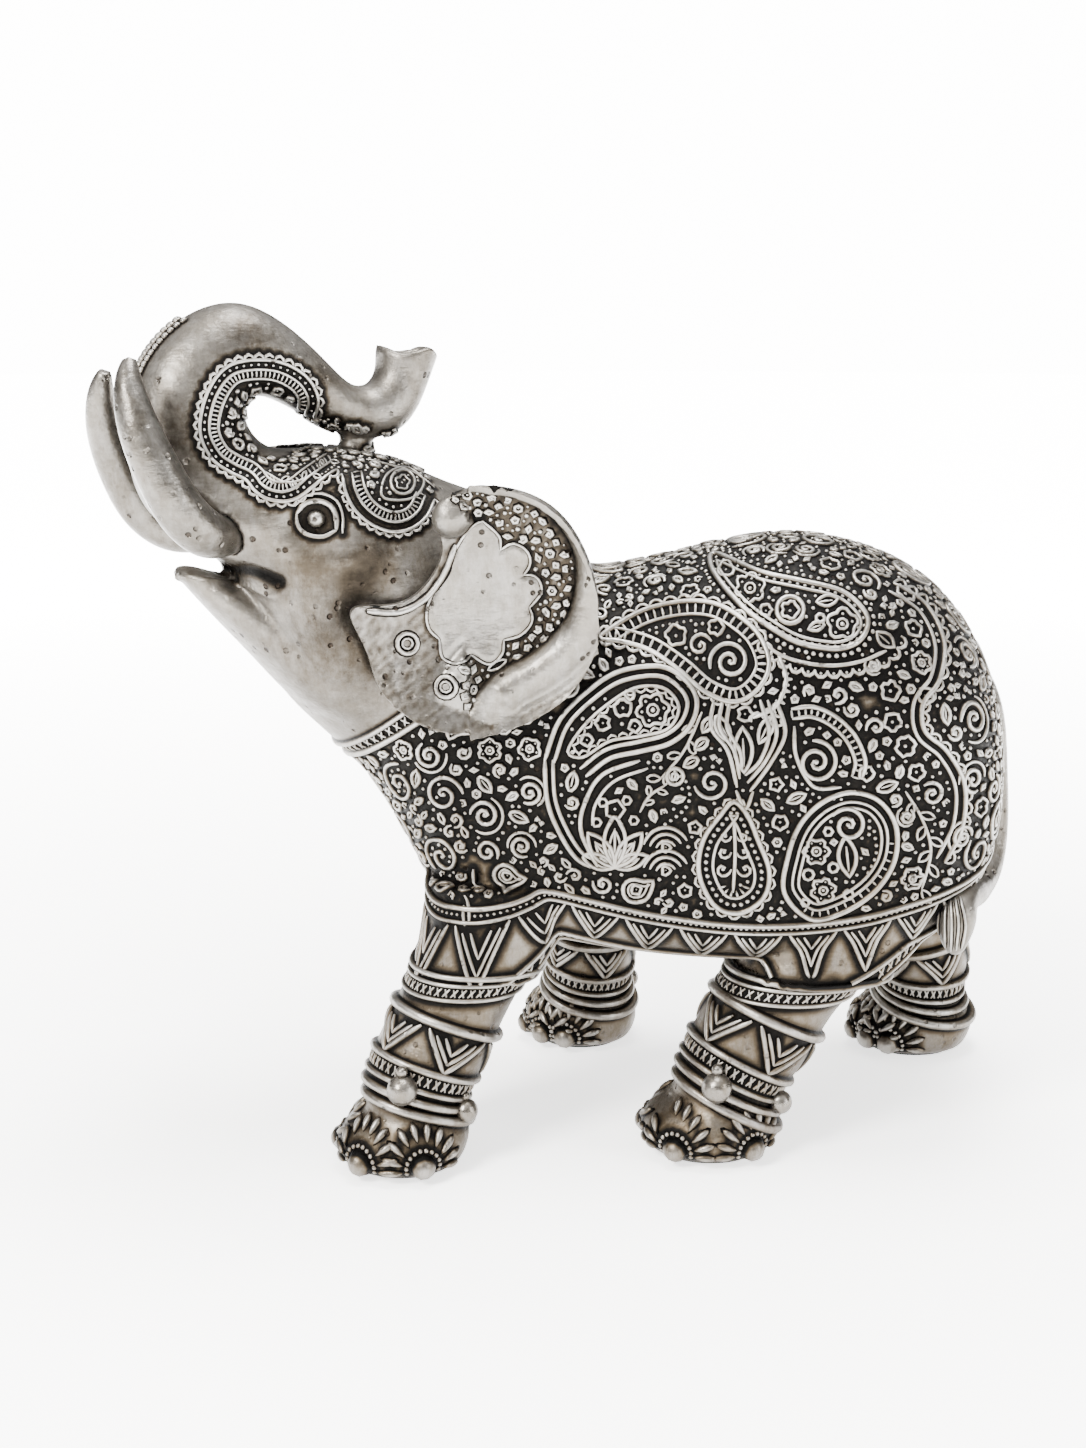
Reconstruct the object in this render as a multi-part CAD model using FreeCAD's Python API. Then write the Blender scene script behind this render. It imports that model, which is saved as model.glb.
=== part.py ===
"""Ornamental elephant figurine with a raised trunk, in silvered cast resin.

The figure is a hollow body casting with the head, ears, tusks, tail, legs and anklet bells glued
to it as castings of their own. Steel dowels locate the neck and the legs, a plug closes the pour
hole in the belly, and a felt pad under each foot stands on the floor. Nothing on it moves.
The figure faces -X, its left side is at -Y and +Z is up. Its origin is at the middle of its
bounding box, on the floor. Sizes are in millimetres.
"""
import FreeCAD
import Part
import math
import os

Vec = FreeCAD.Vector

# ---- overall sizes ----
BODY_LENGTH = 150.4        # foremost point of the chest to the rump
BODY_HEIGHT = 91.0         # belly to the top of the back
BODY_WIDTH = 83.0          # widest part of the body
LEG_HEIGHT = 50.0          # floor to belly
HEAD_SCALE = 1.0           # size of the head, trunk, tusks and ears
HEAD_TURN = 22.0           # degrees that the head looks to the figure's left

# ---- walls, joints and clearances ----
WALL = 4.0                 # thickness of the hollow body casting
GLUE_GAP = 0.15            # between two castings that are glued together
FIT = 0.1                  # radial room of a dowel, peg or plug in its hole
PAD_THICKNESS = 1.2
PAD_INSET = 2.5            # from the edge of the sole to the edge of its pad
LEG_DOWEL_RADIUS = 2.5
LEG_DOWEL_IN_LEG = 12.0
LEG_DOWEL_IN_BODY = 9.0
NECK_DOWEL_RADIUS = 4.0
NECK_DOWEL_REACH = 14.0    # to each side of the neck joint
TAIL_PIN_RADIUS = 1.2
TAIL_PIN_REACH = 7.0
EAR_PIN_RADIUS = 1.5
EAR_PIN_REACH = 6.0
EAR_PIN_FORWARD = 9.0      # in front of the ear's middle
EAR_PIN_COVER = 0.7          # from the deepest place of the ear's hollow down to the pin's outer end
PLUG_RADIUS = 8.0
PLUG_FLANGE = 2.0
PLUG_FLANGE_HEIGHT = 1.2
BELL_SLOT_WIDTH = 0.8
BELL_SINK_SHARE = 0.45     # of a bell's radius that is bedded into its leg
BELL_LOOP_SHARE = 0.37     # of the loop bead's radius to the bell's
EAR_THICKNESS = 3.2
EAR_RIM_THICKNESS = 6.4
EAR_RIM_WIDTH = 7.5
EAR_DISH_RADIUS = 56.0     # of the sphere that the ear's hollow follows
EAR_BORE_RUN_OUT = 1.0       # the cutter of an ear pin's bore goes on outside the head
EAR_SEAT = 6.4               # from the ear's middle in to the back of its dish
EAR_FLARE = 20.0           # degrees that the ear's rear edge stands away from the head

RING_POINTS = 36
RING_STEPS = 12            # finer steps between two points, to space them evenly

# Shares of the body's length from the chest and of its height from the belly: the upper point and
# the lower point of each ring, its half width as a share of half the body's width, and the
# roundness of its lower half (2 round, more squarer).
BODY_RINGS = [
    ((1.000, 0.46), (1.000, 0.36), 0.14, 2.2),
    ((0.987, 0.61), (0.987, 0.18), 0.50, 2.4),
    ((0.950, 0.76), (0.950, 0.08), 0.74, 3.0),
    ((0.885, 0.885), (0.885, 0.03), 0.89, 4.4),
    ((0.785, 0.970), (0.785, 0.005), 0.975, 6.0),
    ((0.665, 1.000), (0.665, 0.000), 1.00, 6.5),
    ((0.550, 0.970), (0.550, 0.005), 0.98, 6.5),
    ((0.430, 0.925), (0.415, 0.020), 0.93, 6.5),
    ((0.370, 0.912), (0.305, 0.040), 0.885, 5.6),
    ((0.337, 0.925), (0.200, 0.055), 0.84, 4.6),
    ((0.310, 0.945), (0.125, 0.105), 0.79, 3.6),
    ((0.284, 0.970), (0.068, 0.240), 0.755, 2.8),
    ((0.258, 1.000), (0.000, 0.405), 0.735, 2.2),
]
ROUND = 2.2

# Offsets from the middle of the neck joint, in the head's own upright plane: the upper or inner
# point, the lower or outer point, the half width, the share of the head's turn, and the roundness
# of the lower half.
HEAD_RINGS = [
    ((12.0, 35.0), (-25.2, -21.7), 30.0, 0.45, 2.2),
    ((1.5, 39.5), (-32.8, -14.2), 29.2, 0.85, 2.2),
    ((-9.0, 44.0), (-40.0, -5.0), 28.6, 1.0, 2.3),
    ((-18.0, 47.0), (-45.5, 9.0), 27.5, 1.0, 2.6),
    ((-28.5, 48.6), (-52.5, 23.3), 25.0, 1.0, 3.0),
    ((-36.5, 48.2), (-61.0, 29.3), 22.5, 1.0, 3.2),
    ((-42.5, 49.8), (-68.5, 36.5), 18.5, 1.0, 2.8),
    ((-46.0, 54.0), (-72.0, 48.0), 15.2, 1.0, 2.3),
    ((-46.5, 58.2), (-71.5, 60.0), 13.6, 1.0, 2.2),
    ((-44.5, 60.2), (-66.0, 71.0), 12.6, 1.0, 2.2),
    ((-41.0, 59.8), (-56.5, 78.5), 11.6, 1.0, 2.2),
    ((-37.3, 58.2), (-46.0, 80.3), 10.8, 1.0, 2.2),
    ((-33.0, 55.8), (-35.8, 75.2), 9.8, 1.0, 2.2),
    ((-28.0, 53.0), (-28.4, 68.6), 8.8, 1.0, 2.2),
    ((-21.8, 50.9), (-22.2, 62.8), 8.0, 1.0, 2.2),
    ((-15.0, 50.4), (-18.2, 62.0), 7.5, 1.0, 2.2),
    ((-9.0, 53.2), (-15.9, 64.0), 7.2, 1.0, 2.2),
    ((-4.5, 60.0), (-14.8, 66.7), 7.0, 1.0, 2.2),
    ((-1.2, 68.3), (-14.4, 70.2), 7.6, 1.0, 2.2),
]
TRUNK_WELD = (-20.6, 48.5, 3.6)      # where the curled trunk is cast on to the forehead, and its radius
TRUNK_WELD_REACH = 5.0
NOSTRIL_DEPTH = 5.0
NOSTRIL_RADIUS = 2.2
NOSTRIL_APART = 6.0
EYE = (-36.8, 23.2, 35.7, 2.6)       # along, outwards and up from the neck joint, and radius

# The lower jaw: upper point, lower point and half width, offsets as for the head.
JAW_RINGS = [
    ((-20.0, 2.0), (-27.0, -17.0), 20.0),
    ((-36.0, 9.0), (-38.5, -7.5), 19.0),
    ((-45.5, 17.0), (-45.5, 0.6), 15.5),
    ((-53.0, 20.8), (-53.0, 9.2), 11.5),
    ((-59.3, 22.9), (-59.3, 16.6), 7.0),
    ((-62.8, 23.0), (-62.5, 20.6), 2.6),
]

# A tusk from the end of its peg to its tip: along, outwards and up from the neck joint, and radius.
TUSK_STATIONS = [
    (-50.0, 12.0, 33.0, 3.2),
    (-55.0, 17.3, 31.8, 4.4),
    (-60.0, 21.8, 32.8, 5.1),
    (-64.8, 23.8, 36.8, 5.3),
    (-69.4, 23.5, 44.8, 5.1),
    (-73.2, 21.3, 55.2, 4.4),
    (-74.4, 18.5, 63.5, 3.2),
    (-73.6, 16.2, 69.2, 1.5),
]
TUSK_DROP = {-1: 0.0, 1: 3.8}        # the right tusk is cast this much lower than the left

# The ear's outline in its own plane: backwards and up from the ear's middle.
EAR_MIDDLE = (-0.8, 38.0, 14.5)      # along, outwards and up from the neck joint
EAR_OUTLINE = [
    (-12.5, 24.5), (-5.5, 27.8), (3.0, 27.6), (12.5, 23.3), (19.5, 13.5), (22.3, 1.5),
    (20.0, -10.0), (12.5, -19.5), (0.5, -25.0), (-11.5, -26.0), (-20.0, -22.0),
    (-26.0, -15.0), (-28.8, -6.5), (-31.5, 2.0), (-22.0, 2.4), (-15.0, 7.0), (-12.0, 16.0),
]
EAR_KNOB = (-9.6, 21.2, 4.4)         # backwards and up from the ear's middle, and radius
EAR_KNOB_OUT = 1.5                   # outwards from the ear's middle
EAR_DROP = {-1: 0.0, 1: 3.0}         # the right ear is cast this much lower than the left
EAR_RIM_FROM = -6.0                  # the thick rim is behind this distance from the ear's middle

# Each leg: share of the leg's height, then along and outwards from the foot, and the half sizes.
FRONT_STRIDE_LEG = [
    (0.10, 0.0, 0.0, 15.0, 14.0), (0.18, 0.8, -0.4, 14.6, 13.6), (0.28, 3.0, -1.5, 11.7, 11.5),
    (0.40, 4.4, -2.6, 12.7, 12.0), (0.60, 8.4, -5.0, 13.4, 12.6), (0.80, 13.5, -8.0, 13.6, 13.0),
    (1.00, 18.5, -11.0, 14.8, 14.0), (1.30, 23.0, -14.5, 17.0, 15.0),
]
FRONT_PLANTED_LEG = [
    (0.10, 0.0, 0.0, 14.8, 13.6), (0.18, 0.4, -0.3, 14.4, 13.3), (0.30, 1.6, -1.4, 11.3, 11.2),
    (0.44, 2.4, -3.0, 11.0, 11.2), (0.72, 3.5, -6.5, 11.5, 11.8), (1.00, 3.6, -10.0, 12.8, 13.0),
    (1.30, 3.5, -14.0, 14.0, 14.0),
]
HIND_STRIDE_LEG = [
    (0.10, 0.0, 0.0, 15.7, 14.0), (0.18, 0.5, 0.0, 15.4, 13.8), (0.28, 3.8, -0.5, 12.6, 11.9),
    (0.40, 6.8, -1.1, 13.8, 12.4), (0.52, 9.7, -2.2, 14.8, 13.0), (0.70, 15.0, -4.0, 15.2, 13.6),
    (0.86, 21.4, -5.6, 17.3, 14.4), (1.00, 26.9, -7.0, 19.3, 15.0), (1.30, 32.5, -9.0, 20.4, 16.0),
]
HIND_PLANTED_LEG = [
    (0.10, 0.0, 0.0, 15.6, 13.8), (0.18, 0.4, 0.0, 15.4, 13.6), (0.30, 1.6, -0.8, 11.2, 11.4),
    (0.46, 2.2, -2.0, 11.2, 11.4), (0.72, -1.0, -4.5, 12.6, 12.4), (1.00, -6.5, -7.0, 14.2, 13.6),
    (1.25, -12.0, -10.0, 16.0, 14.5),
]
SOLE_SHRINK = 2.0          # how much the sole is smaller than the foot above it
# Name, share of the body's length where the foot stands, foot's distance from the middle plane,
# side (-1 left) and form.
LEGS = [
    ("front_left", 0.070, 37.0, -1, FRONT_STRIDE_LEG),
    ("front_right", 0.353, 38.0, 1, FRONT_PLANTED_LEG),
    ("hind_left", 0.545, 29.5, -1, HIND_STRIDE_LEG),
    ("hind_right", 0.940, 33.0, 1, HIND_PLANTED_LEG),
]
# A leg's bells: bearing in degrees (0 to the rear, 90 outwards), share of the leg's height, radius.
LEG_BELLS = {"front": ((108.0, 0.44, 3.5), (28.0, 0.29, 2.8)), "hind": ((115.0, 0.40, 3.5), (30.0, 0.28, 2.8))}

# The tail: behind the rump's end, outwards to the left, above the belly, and radius.
TAIL_STATIONS = [
    (-13.0, 0.0, 64.0, 4.2), (-5.0, 0.0, 57.0, 4.2), (-0.8, 0.4, 48.0, 3.8), (0.8, 1.2, 36.0, 3.6),
    (1.2, 3.0, 25.0, 3.6), (0.2, 6.6, 16.0, 3.6), (-2.6, 12.6, 11.0, 3.5), (-6.0, 20.0, 10.0, 3.3),
    (-9.8, 27.5, 11.0, 3.4), (-12.6, 32.2, 9.0, 4.2), (-13.4, 33.6, 4.5, 3.8), (-12.5, 32.2, -0.5, 1.2),
]


# ---- shape helpers ----
def ring(middle, up, side, round_up=2.0, round_low=2.0):
    """Evenly spaced points of a closed curve in the plane of up and side, whose lengths are the half
    sizes. A roundness of 2 is an ellipse, and more is squarer."""
    fine = []
    count = RING_POINTS * RING_STEPS
    for k in range(count + 1):
        angle = 2 * math.pi * k / count
        c, s = math.cos(angle), math.sin(angle)
        power = 2.0 / (round_up if s >= 0 else round_low)
        fine.append(middle + side * math.copysign(abs(c) ** power, c) + up * math.copysign(abs(s) ** power, s))
    travelled = [0.0]
    for p, q in zip(fine, fine[1:]):
        travelled.append(travelled[-1] + (q - p).Length)
    points = []
    k = 0
    for n in range(RING_POINTS):
        target = travelled[-1] * n / RING_POINTS
        while travelled[k + 1] < target:
            k += 1
        t = (target - travelled[k]) / (travelled[k + 1] - travelled[k])
        points.append(fine[k] + (fine[k + 1] - fine[k]) * t)
    return points


def ring_curve(points):
    curve = Part.BSplineCurve()
    curve.interpolate(Points=points, PeriodicFlag=True, Parameters=[float(k) for k in range(len(points) + 1)])
    return curve


def skin(rings):
    """A smooth closed solid through the rings. Each pole of the ring curves is itself interpolated
    along the length, so that no ring is turned or flipped."""
    curves = [ring_curve(points) for points in rings]
    around = curves[0]
    along = [0.0]
    for before, after in zip(rings, rings[1:]):
        step = sum((q - p).Length for p, q in zip(before, after)) / RING_POINTS
        along.append(along[-1] + math.sqrt(step))
    lengthwise = []
    for poles in zip(*[curve.getPoles() for curve in curves]):
        spline = Part.BSplineCurve()
        spline.interpolate(Points=list(poles), Parameters=along)
        lengthwise.append(spline)
    surface = Part.BSplineSurface()
    surface.buildFromPolesMultsKnots([spline.getPoles() for spline in lengthwise],
                                     around.getMultiplicities(), lengthwise[0].getMultiplicities(),
                                     around.getKnots(), lengthwise[0].getKnots(), True, False,
                                     around.Degree, lengthwise[0].Degree)
    side = surface.toShape()
    caps = []
    for end in (along[0], along[-1]):
        caps.append(Part.Face(Part.Wire([surface.vIso(end).toShape()])))
    shell = Part.Shell([side] + caps)
    shell.sewShape()
    solid = Part.Solid(shell)
    if solid.Volume < 0:
        solid.reverse()
    return solid


def largest(shape):
    return max(shape.Solids, key=lambda s: s.Volume)


def tube(stations, grow=0.0, flat=1.0):
    """A closed solid along 3D points with a radius at each, all grown by the same amount."""
    rings = []
    for k, (point, radius) in enumerate(stations):
        before = stations[max(k - 1, 0)][0]
        after = stations[min(k + 1, len(stations) - 1)][0]
        along = (after - before).normalize()
        side = Vec(0, 1, 0) - along * along.y
        side.normalize()
        up = along.cross(side)
        rings.append(ring(point, up * (radius + grow), side * (radius + grow) * flat))
    return skin(rings)


def pin(start, direction, length, radius):
    return Part.makeCylinder(radius, length, start, direction)


# ---- places that several pieces share ----
def body_point(share_along, share_up):
    return Vec(share_along * BODY_LENGTH, 0, LEG_HEIGHT + share_up * BODY_HEIGHT)


def body_ring(k, inset=0.0):
    upper, lower, width, round_low = BODY_RINGS[k]
    top, low = body_point(*upper), body_point(*lower)
    up = (top - low) * 0.5
    half_width = width * BODY_WIDTH / 2
    return ring((top + low) * 0.5, up * (1 - inset / up.Length), Vec(0, half_width - inset, 0), ROUND, round_low)


NECK_TOP, NECK_LOW = body_point(*BODY_RINGS[-1][0]), body_point(*BODY_RINGS[-1][1])
NECK = (NECK_TOP + NECK_LOW) * 0.5
NECK_AXIS = Vec(0, 1, 0).cross(NECK_TOP - NECK_LOW).normalize()    # out of the body, into the head
if NECK_AXIS.x > 0:
    NECK_AXIS = NECK_AXIS * -1


def head_point(along, outwards, up, turn_share=1.0):
    """A point of the head, from offsets in its own upright plane. Outwards is to the figure's left."""
    turn = math.radians(HEAD_TURN * turn_share)
    x, y = along * HEAD_SCALE, -outwards * HEAD_SCALE
    return NECK + Vec(x * math.cos(turn) - y * math.sin(turn), x * math.sin(turn) + y * math.cos(turn),
                      up * HEAD_SCALE)


def head_direction(along, outwards, up):
    return (head_point(along, outwards, up) - NECK).normalize()


# ---- the body ----
def body_outside(grow=0.0):
    return skin([body_ring(k, -grow) for k in range(len(BODY_RINGS))])


def body_inside():
    """The hollow: the same rings taken in by the wall, without those closest to the two ends."""
    return skin([body_ring(k, WALL) for k in range(2, len(BODY_RINGS) - 1)])


def pour_hole():
    return body_point(0.50, 0.0)


def make_body(leg_dowels, neck_dowel, tail_pin):
    body = body_outside().cut(body_inside())
    body = body.cut(pin(pour_hole() - Vec(0, 0, 5), Vec(0, 0, 1), 5 + 3 * WALL, PLUG_RADIUS + FIT))
    for start, direction, length, radius in leg_dowels + [neck_dowel, tail_pin]:
        body = body.cut(pin(start, direction, length, radius + FIT))
    return largest(body)


def make_pour_plug():
    """A stepped plug: its shank fills the hole and its flange lies against the belly."""
    bottom = pour_hole()
    shank = pin(bottom - Vec(0, 0, 1), Vec(0, 0, 1), 1 + 1.5 * WALL, PLUG_RADIUS)
    flange = pin(bottom - Vec(0, 0, PLUG_FLANGE_HEIGHT), Vec(0, 0, 1), PLUG_FLANGE_HEIGHT - GLUE_GAP,
                 PLUG_RADIUS + PLUG_FLANGE)
    return shank.fuse(flange).removeSplitter()


# ---- the head ----
def head_ring(upper, lower, half_width, turn_share, round_low):
    top = head_point(upper[0], 0, upper[1], turn_share)
    low = head_point(lower[0], 0, lower[1], turn_share)
    turn = math.radians(HEAD_TURN * turn_share)
    side = Vec(-math.sin(turn), math.cos(turn), 0) * half_width * HEAD_SCALE
    return ring((top + low) * 0.5, (top - low) * 0.5, side, ROUND, round_low)


def head_outside():
    first = [point + NECK_AXIS * GLUE_GAP for point in body_ring(len(BODY_RINGS) - 1)]
    skull = skin([first] + [head_ring(*r) for r in HEAD_RINGS])
    jaw = skin([head_ring(upper, lower, width, 1.0, ROUND) for upper, lower, width in JAW_RINGS])
    along, up, radius = TRUNK_WELD
    weld = pin(head_point(along, 0, up - TRUNK_WELD_REACH / 2), Vec(0, 0, 1), TRUNK_WELD_REACH * HEAD_SCALE,
               radius * HEAD_SCALE)
    head = skull.fuse(jaw).fuse(weld)
    for side in (-1, 1):
        head = head.fuse(Part.makeSphere(EYE[3] * HEAD_SCALE, head_point(EYE[0], -side * EYE[1], EYE[2])))
    return head


def nostrils():
    upper, lower = HEAD_RINGS[-1][0], HEAD_RINGS[-1][1]
    tip = head_point((upper[0] + lower[0]) / 2, 0, (upper[1] + lower[1]) / 2)
    across = (head_point(0, 1, 0) - head_point(0, 0, 0)).normalize()
    lips = head_point(upper[0], 0, upper[1]) - head_point(lower[0], 0, lower[1])
    inwards = across.cross(lips).normalize()
    if inwards.z > 0:
        inwards = inwards * -1
    offsets = (-NOSTRIL_APART / 2, NOSTRIL_APART / 2)
    return [pin(tip + across * s * HEAD_SCALE - inwards, inwards, NOSTRIL_DEPTH + 1, NOSTRIL_RADIUS)
            for s in offsets]


def make_head(tusk_sockets, neck_dowel, ear_pins):
    head = head_outside()
    for cutter in nostrils() + tusk_sockets:
        head = head.cut(cutter)
    start, direction, length, radius = neck_dowel
    head = head.cut(pin(start, direction, length, radius + FIT))
    for start, direction, length, radius in ear_pins:
        head = head.cut(pin(start, direction, length + EAR_BORE_RUN_OUT, radius + FIT))
    return largest(head)


def make_tusk(side, grow=0.0):
    drop = TUSK_DROP[side]
    stations = [(head_point(a, -side * o, u - drop), r * HEAD_SCALE) for a, o, u, r in TUSK_STATIONS]
    return tube(stations, grow)


# ---- the ears ----
def ear_frame(side):
    """The ear's middle, and its backward, upward and outward directions."""
    a, o, u = EAR_MIDDLE
    middle = head_point(a, -side * o, u - EAR_DROP[side])
    flare = math.radians(EAR_FLARE)
    back = head_direction(math.cos(flare), -side * math.sin(flare), 0)
    out = head_direction(-math.sin(flare), -side * math.cos(flare), 0)
    return middle, back, Vec(0, 0, 1), out


def ear_prism(side, points, depth=60.0):
    middle, back, up, out = ear_frame(side)
    start = middle - out * (depth / 2)
    outline = Part.BSplineCurve()
    outline.interpolate(Points=[start + (back * b + up * u) * HEAD_SCALE for b, u in points], PeriodicFlag=True)
    return Part.Face(Part.Wire([outline.toShape()])).extrude(out * depth)


def shrunk(points, amount):
    """The outline moved in towards the ear's middle."""
    moved = []
    for b, u in points:
        distance = math.hypot(b, u)
        moved.append((b * (distance - amount) / distance, u * (distance - amount) / distance))
    return moved


def ear_shell(side, thickness):
    """The part of a spherical shell that the ear's hollow follows, open side outwards."""
    middle, back, up, out = ear_frame(side)
    back_radius = EAR_DISH_RADIUS * HEAD_SCALE + EAR_THICKNESS
    centre = middle + out * (back_radius - EAR_SEAT * HEAD_SCALE)
    outer = Part.makeSphere(back_radius, centre)
    inner = Part.makeSphere(back_radius - thickness, centre)
    return outer.cut(inner)


def make_ear(side, head, body, ear_pin):
    """A dished flap with a thick rolled rim along its rear, bedded on the side of the head."""
    flap = ear_prism(side, EAR_OUTLINE).common(ear_shell(side, EAR_THICKNESS))
    band = ear_prism(side, EAR_OUTLINE).cut(ear_prism(side, shrunk(EAR_OUTLINE, EAR_RIM_WIDTH)))
    band = band.common(ear_shell(side, EAR_RIM_THICKNESS))
    middle, back, up, out = ear_frame(side)
    behind = Part.makeBox(80, 80, 80, Vec(EAR_RIM_FROM, -40, -40))
    behind.Placement = FreeCAD.Placement(middle, FreeCAD.Rotation(back, up.cross(back), up, "XZY"))
    knob = middle + (back * EAR_KNOB[0] + up * EAR_KNOB[1] + out * EAR_KNOB_OUT) * HEAD_SCALE
    ear = flap.fuse(band.common(behind)).fuse(Part.makeSphere(EAR_KNOB[2] * HEAD_SCALE, knob))
    ear = ear.cut(head).cut(body)
    start, direction, length, radius = ear_pin
    return largest(largest(ear).cut(pin(start, direction, length, radius + FIT)))


# ---- legs, feet and bells ----
def leg_stations(leg):
    name, share, apart, side, form = leg
    foot = Vec(share * BODY_LENGTH, side * apart, 0)
    return [(foot + Vec(along, side * out, height * LEG_HEIGHT), half_along, half_across)
            for height, along, out, half_along, half_across in form]


def leg_ring(point, half_along, half_across, grow=0.0):
    return ring(point, Vec(-(half_along + grow), 0, 0), Vec(0, half_across + grow, 0), 2.1, 2.1)


def leg_outside(leg, grow=0.0):
    stations = leg_stations(leg)
    point, half_along, half_across = stations[0]
    sole = Vec(point.x, point.y, PAD_THICKNESS - grow)
    rings = [leg_ring(sole, half_along - SOLE_SHRINK, half_across - SOLE_SHRINK, grow)]
    return skin(rings + [leg_ring(*s, grow) for s in stations])


def leg_middle(leg, share):
    """The middle and the half sizes of a leg at a share of its height."""
    stations = leg_stations(leg)
    height = share * LEG_HEIGHT
    for (a, ra, sa), (b, rb, sb) in zip(stations, stations[1:]):
        if a.z <= height <= b.z:
            t = (height - a.z) / (b.z - a.z)
            return a + (b - a) * t, ra + (rb - ra) * t, sa + (sb - sa) * t
    raise ValueError("the leg has no such height")


def leg_dowel(leg):
    middle, half_along, half_across = leg_middle(leg, 1.0)
    return middle - Vec(0, 0, LEG_DOWEL_IN_LEG), Vec(0, 0, 1), LEG_DOWEL_IN_LEG + LEG_DOWEL_IN_BODY, LEG_DOWEL_RADIUS


def make_leg(leg, body, dowel):
    start, direction, length, radius = dowel
    above = leg_outside(leg).cut(body)
    pieces = [s for s in above.Solids if s.BoundBox.ZMin < LEG_HEIGHT / 2]
    return largest(pieces[0].cut(pin(start, direction, length, radius + FIT)))


def make_pad(leg):
    point, half_along, half_across = leg_stations(leg)[0]
    inset = SOLE_SHRINK + PAD_INSET
    outline = leg_ring(Vec(point.x, point.y, 0.0), half_along - inset, half_across - inset)
    return Part.Face(Part.Wire([ring_curve(outline).toShape()])).extrude(Vec(0, 0, PAD_THICKNESS))


def make_bells(leg, outside):
    """Round slotted bells hung by a small loop bead, each bedded on the outside of the leg."""
    name, share, apart, side, form = leg
    bells = []
    for bearing, height, radius in LEG_BELLS[name.split("_")[0]]:
        middle, half_along, half_across = leg_middle(leg, height)
        angle = math.radians(bearing)
        out = Vec(math.cos(angle), side * math.sin(angle), 0)
        reach = 1.0 / math.hypot(out.x / half_along, out.y / half_across)
        centre = middle + out * (reach + radius * (1 - BELL_SINK_SHARE))
        slot = Part.makeBox(4 * radius, BELL_SLOT_WIDTH, radius, Vec(-2 * radius, -BELL_SLOT_WIDTH / 2, -radius * 1.4))
        slot.rotate(Vec(0, 0, 0), Vec(0, 0, 1), bearing * side + 90)
        slot.translate(centre)
        loop_radius = radius * BELL_LOOP_SHARE
        loop = Part.makeSphere(loop_radius, centre + Vec(0, 0, radius + loop_radius * 0.7))
        bell = Part.makeSphere(radius, centre).cut(slot).fuse(loop)
        bells.append(largest(bell.cut(outside)))
    return Part.makeCompound(bells)


# ---- the tail ----
def tail_points():
    rump = body_point(1.0, 0.0)
    return [(rump + Vec(a, -o, u), r) for a, o, u, r in TAIL_STATIONS]


def make_tail(body, legs, tail_pin):
    tail = tube(tail_points()).cut(body)
    for leg in legs:
        tail = tail.cut(leg)
    start, direction, length, radius = tail_pin
    return largest(largest(tail).cut(pin(start, direction, length, radius + FIT)))


# ---- the assembly ----
def build():
    leg_dowels = [leg_dowel(leg) for leg in LEGS]
    neck_dowel = (NECK - NECK_AXIS * NECK_DOWEL_REACH, NECK_AXIS, 2 * NECK_DOWEL_REACH, NECK_DOWEL_RADIUS)
    root = tail_points()[1][0]
    tail_pin = (root - Vec(TAIL_PIN_REACH + 3, 0, 0), Vec(1, 0, 0), TAIL_PIN_REACH + 3, TAIL_PIN_RADIUS)
    ear_pins = {}
    for side in (-1, 1):
        middle, back, up, out = ear_frame(side)
        outer_end = EAR_SEAT * HEAD_SCALE - EAR_THICKNESS + EAR_PIN_COVER
        start = middle - back * EAR_PIN_FORWARD * HEAD_SCALE - out * (EAR_PIN_REACH + outer_end)
        ear_pins[side] = (start, out, EAR_PIN_REACH, EAR_PIN_RADIUS)

    body_grown = body_outside(GLUE_GAP)
    sockets = [make_tusk(side, FIT) for side in (-1, 1)]
    head_whole = head_outside()
    nodes = {"body_shell": make_body(leg_dowels, neck_dowel, tail_pin), "pour_plug": make_pour_plug()}
    nodes["head_and_trunk"] = make_head(sockets, neck_dowel, list(ear_pins.values()))
    nodes["neck_dowel"] = pin(*neck_dowel)
    nodes["leg_dowels"] = Part.makeCompound([pin(*d) for d in leg_dowels])
    nodes["tail_pin"] = pin(*tail_pin)
    nodes["ear_pins"] = Part.makeCompound([pin(*p) for p in ear_pins.values()])
    for side, word in ((-1, "left"), (1, "right")):
        nodes[word + "_tusk"] = make_tusk(side)
        nodes[word + "_ear"] = make_ear(side, head_whole, body_grown, ear_pins[side])
    for leg, dowel in zip(LEGS, leg_dowels):
        nodes[leg[0] + "_leg"] = make_leg(leg, body_grown, dowel)
        nodes[leg[0] + "_pad"] = make_pad(leg)
        nodes[leg[0] + "_bells"] = make_bells(leg, leg_outside(leg))
    nodes["tail"] = make_tail(body_grown, [leg_outside(leg, GLUE_GAP) for leg in LEGS], tail_pin)
    return nodes


def centred(nodes):
    """The same nodes with the middle of their shared bounding box over the origin."""
    box = Part.makeCompound(list(nodes.values())).BoundBox
    shift = Vec(-(box.XMin + box.XMax) / 2, -(box.YMin + box.YMax) / 2, 0)
    for shape in nodes.values():
        shape.translate(shift)
    return nodes, shift


if __name__ == "__main__":
    os.makedirs("parts", exist_ok=True)
    finished, moved_by = centred(build())
    print("moved by", moved_by)
    for node_name, node_shape in finished.items():
        node_shape.exportStep("parts/" + node_name + ".step")
        print(node_name, len(node_shape.Solids), node_shape.isValid(), round(node_shape.Volume))
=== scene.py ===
"""The looks of an ornamental elephant figurine, built around its packed castings."""
import math

import bmesh
import bpy
import numpy as np
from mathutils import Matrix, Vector
from mathutils.bvhtree import BVHTree
from mathutils.kdtree import KDTree


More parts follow.
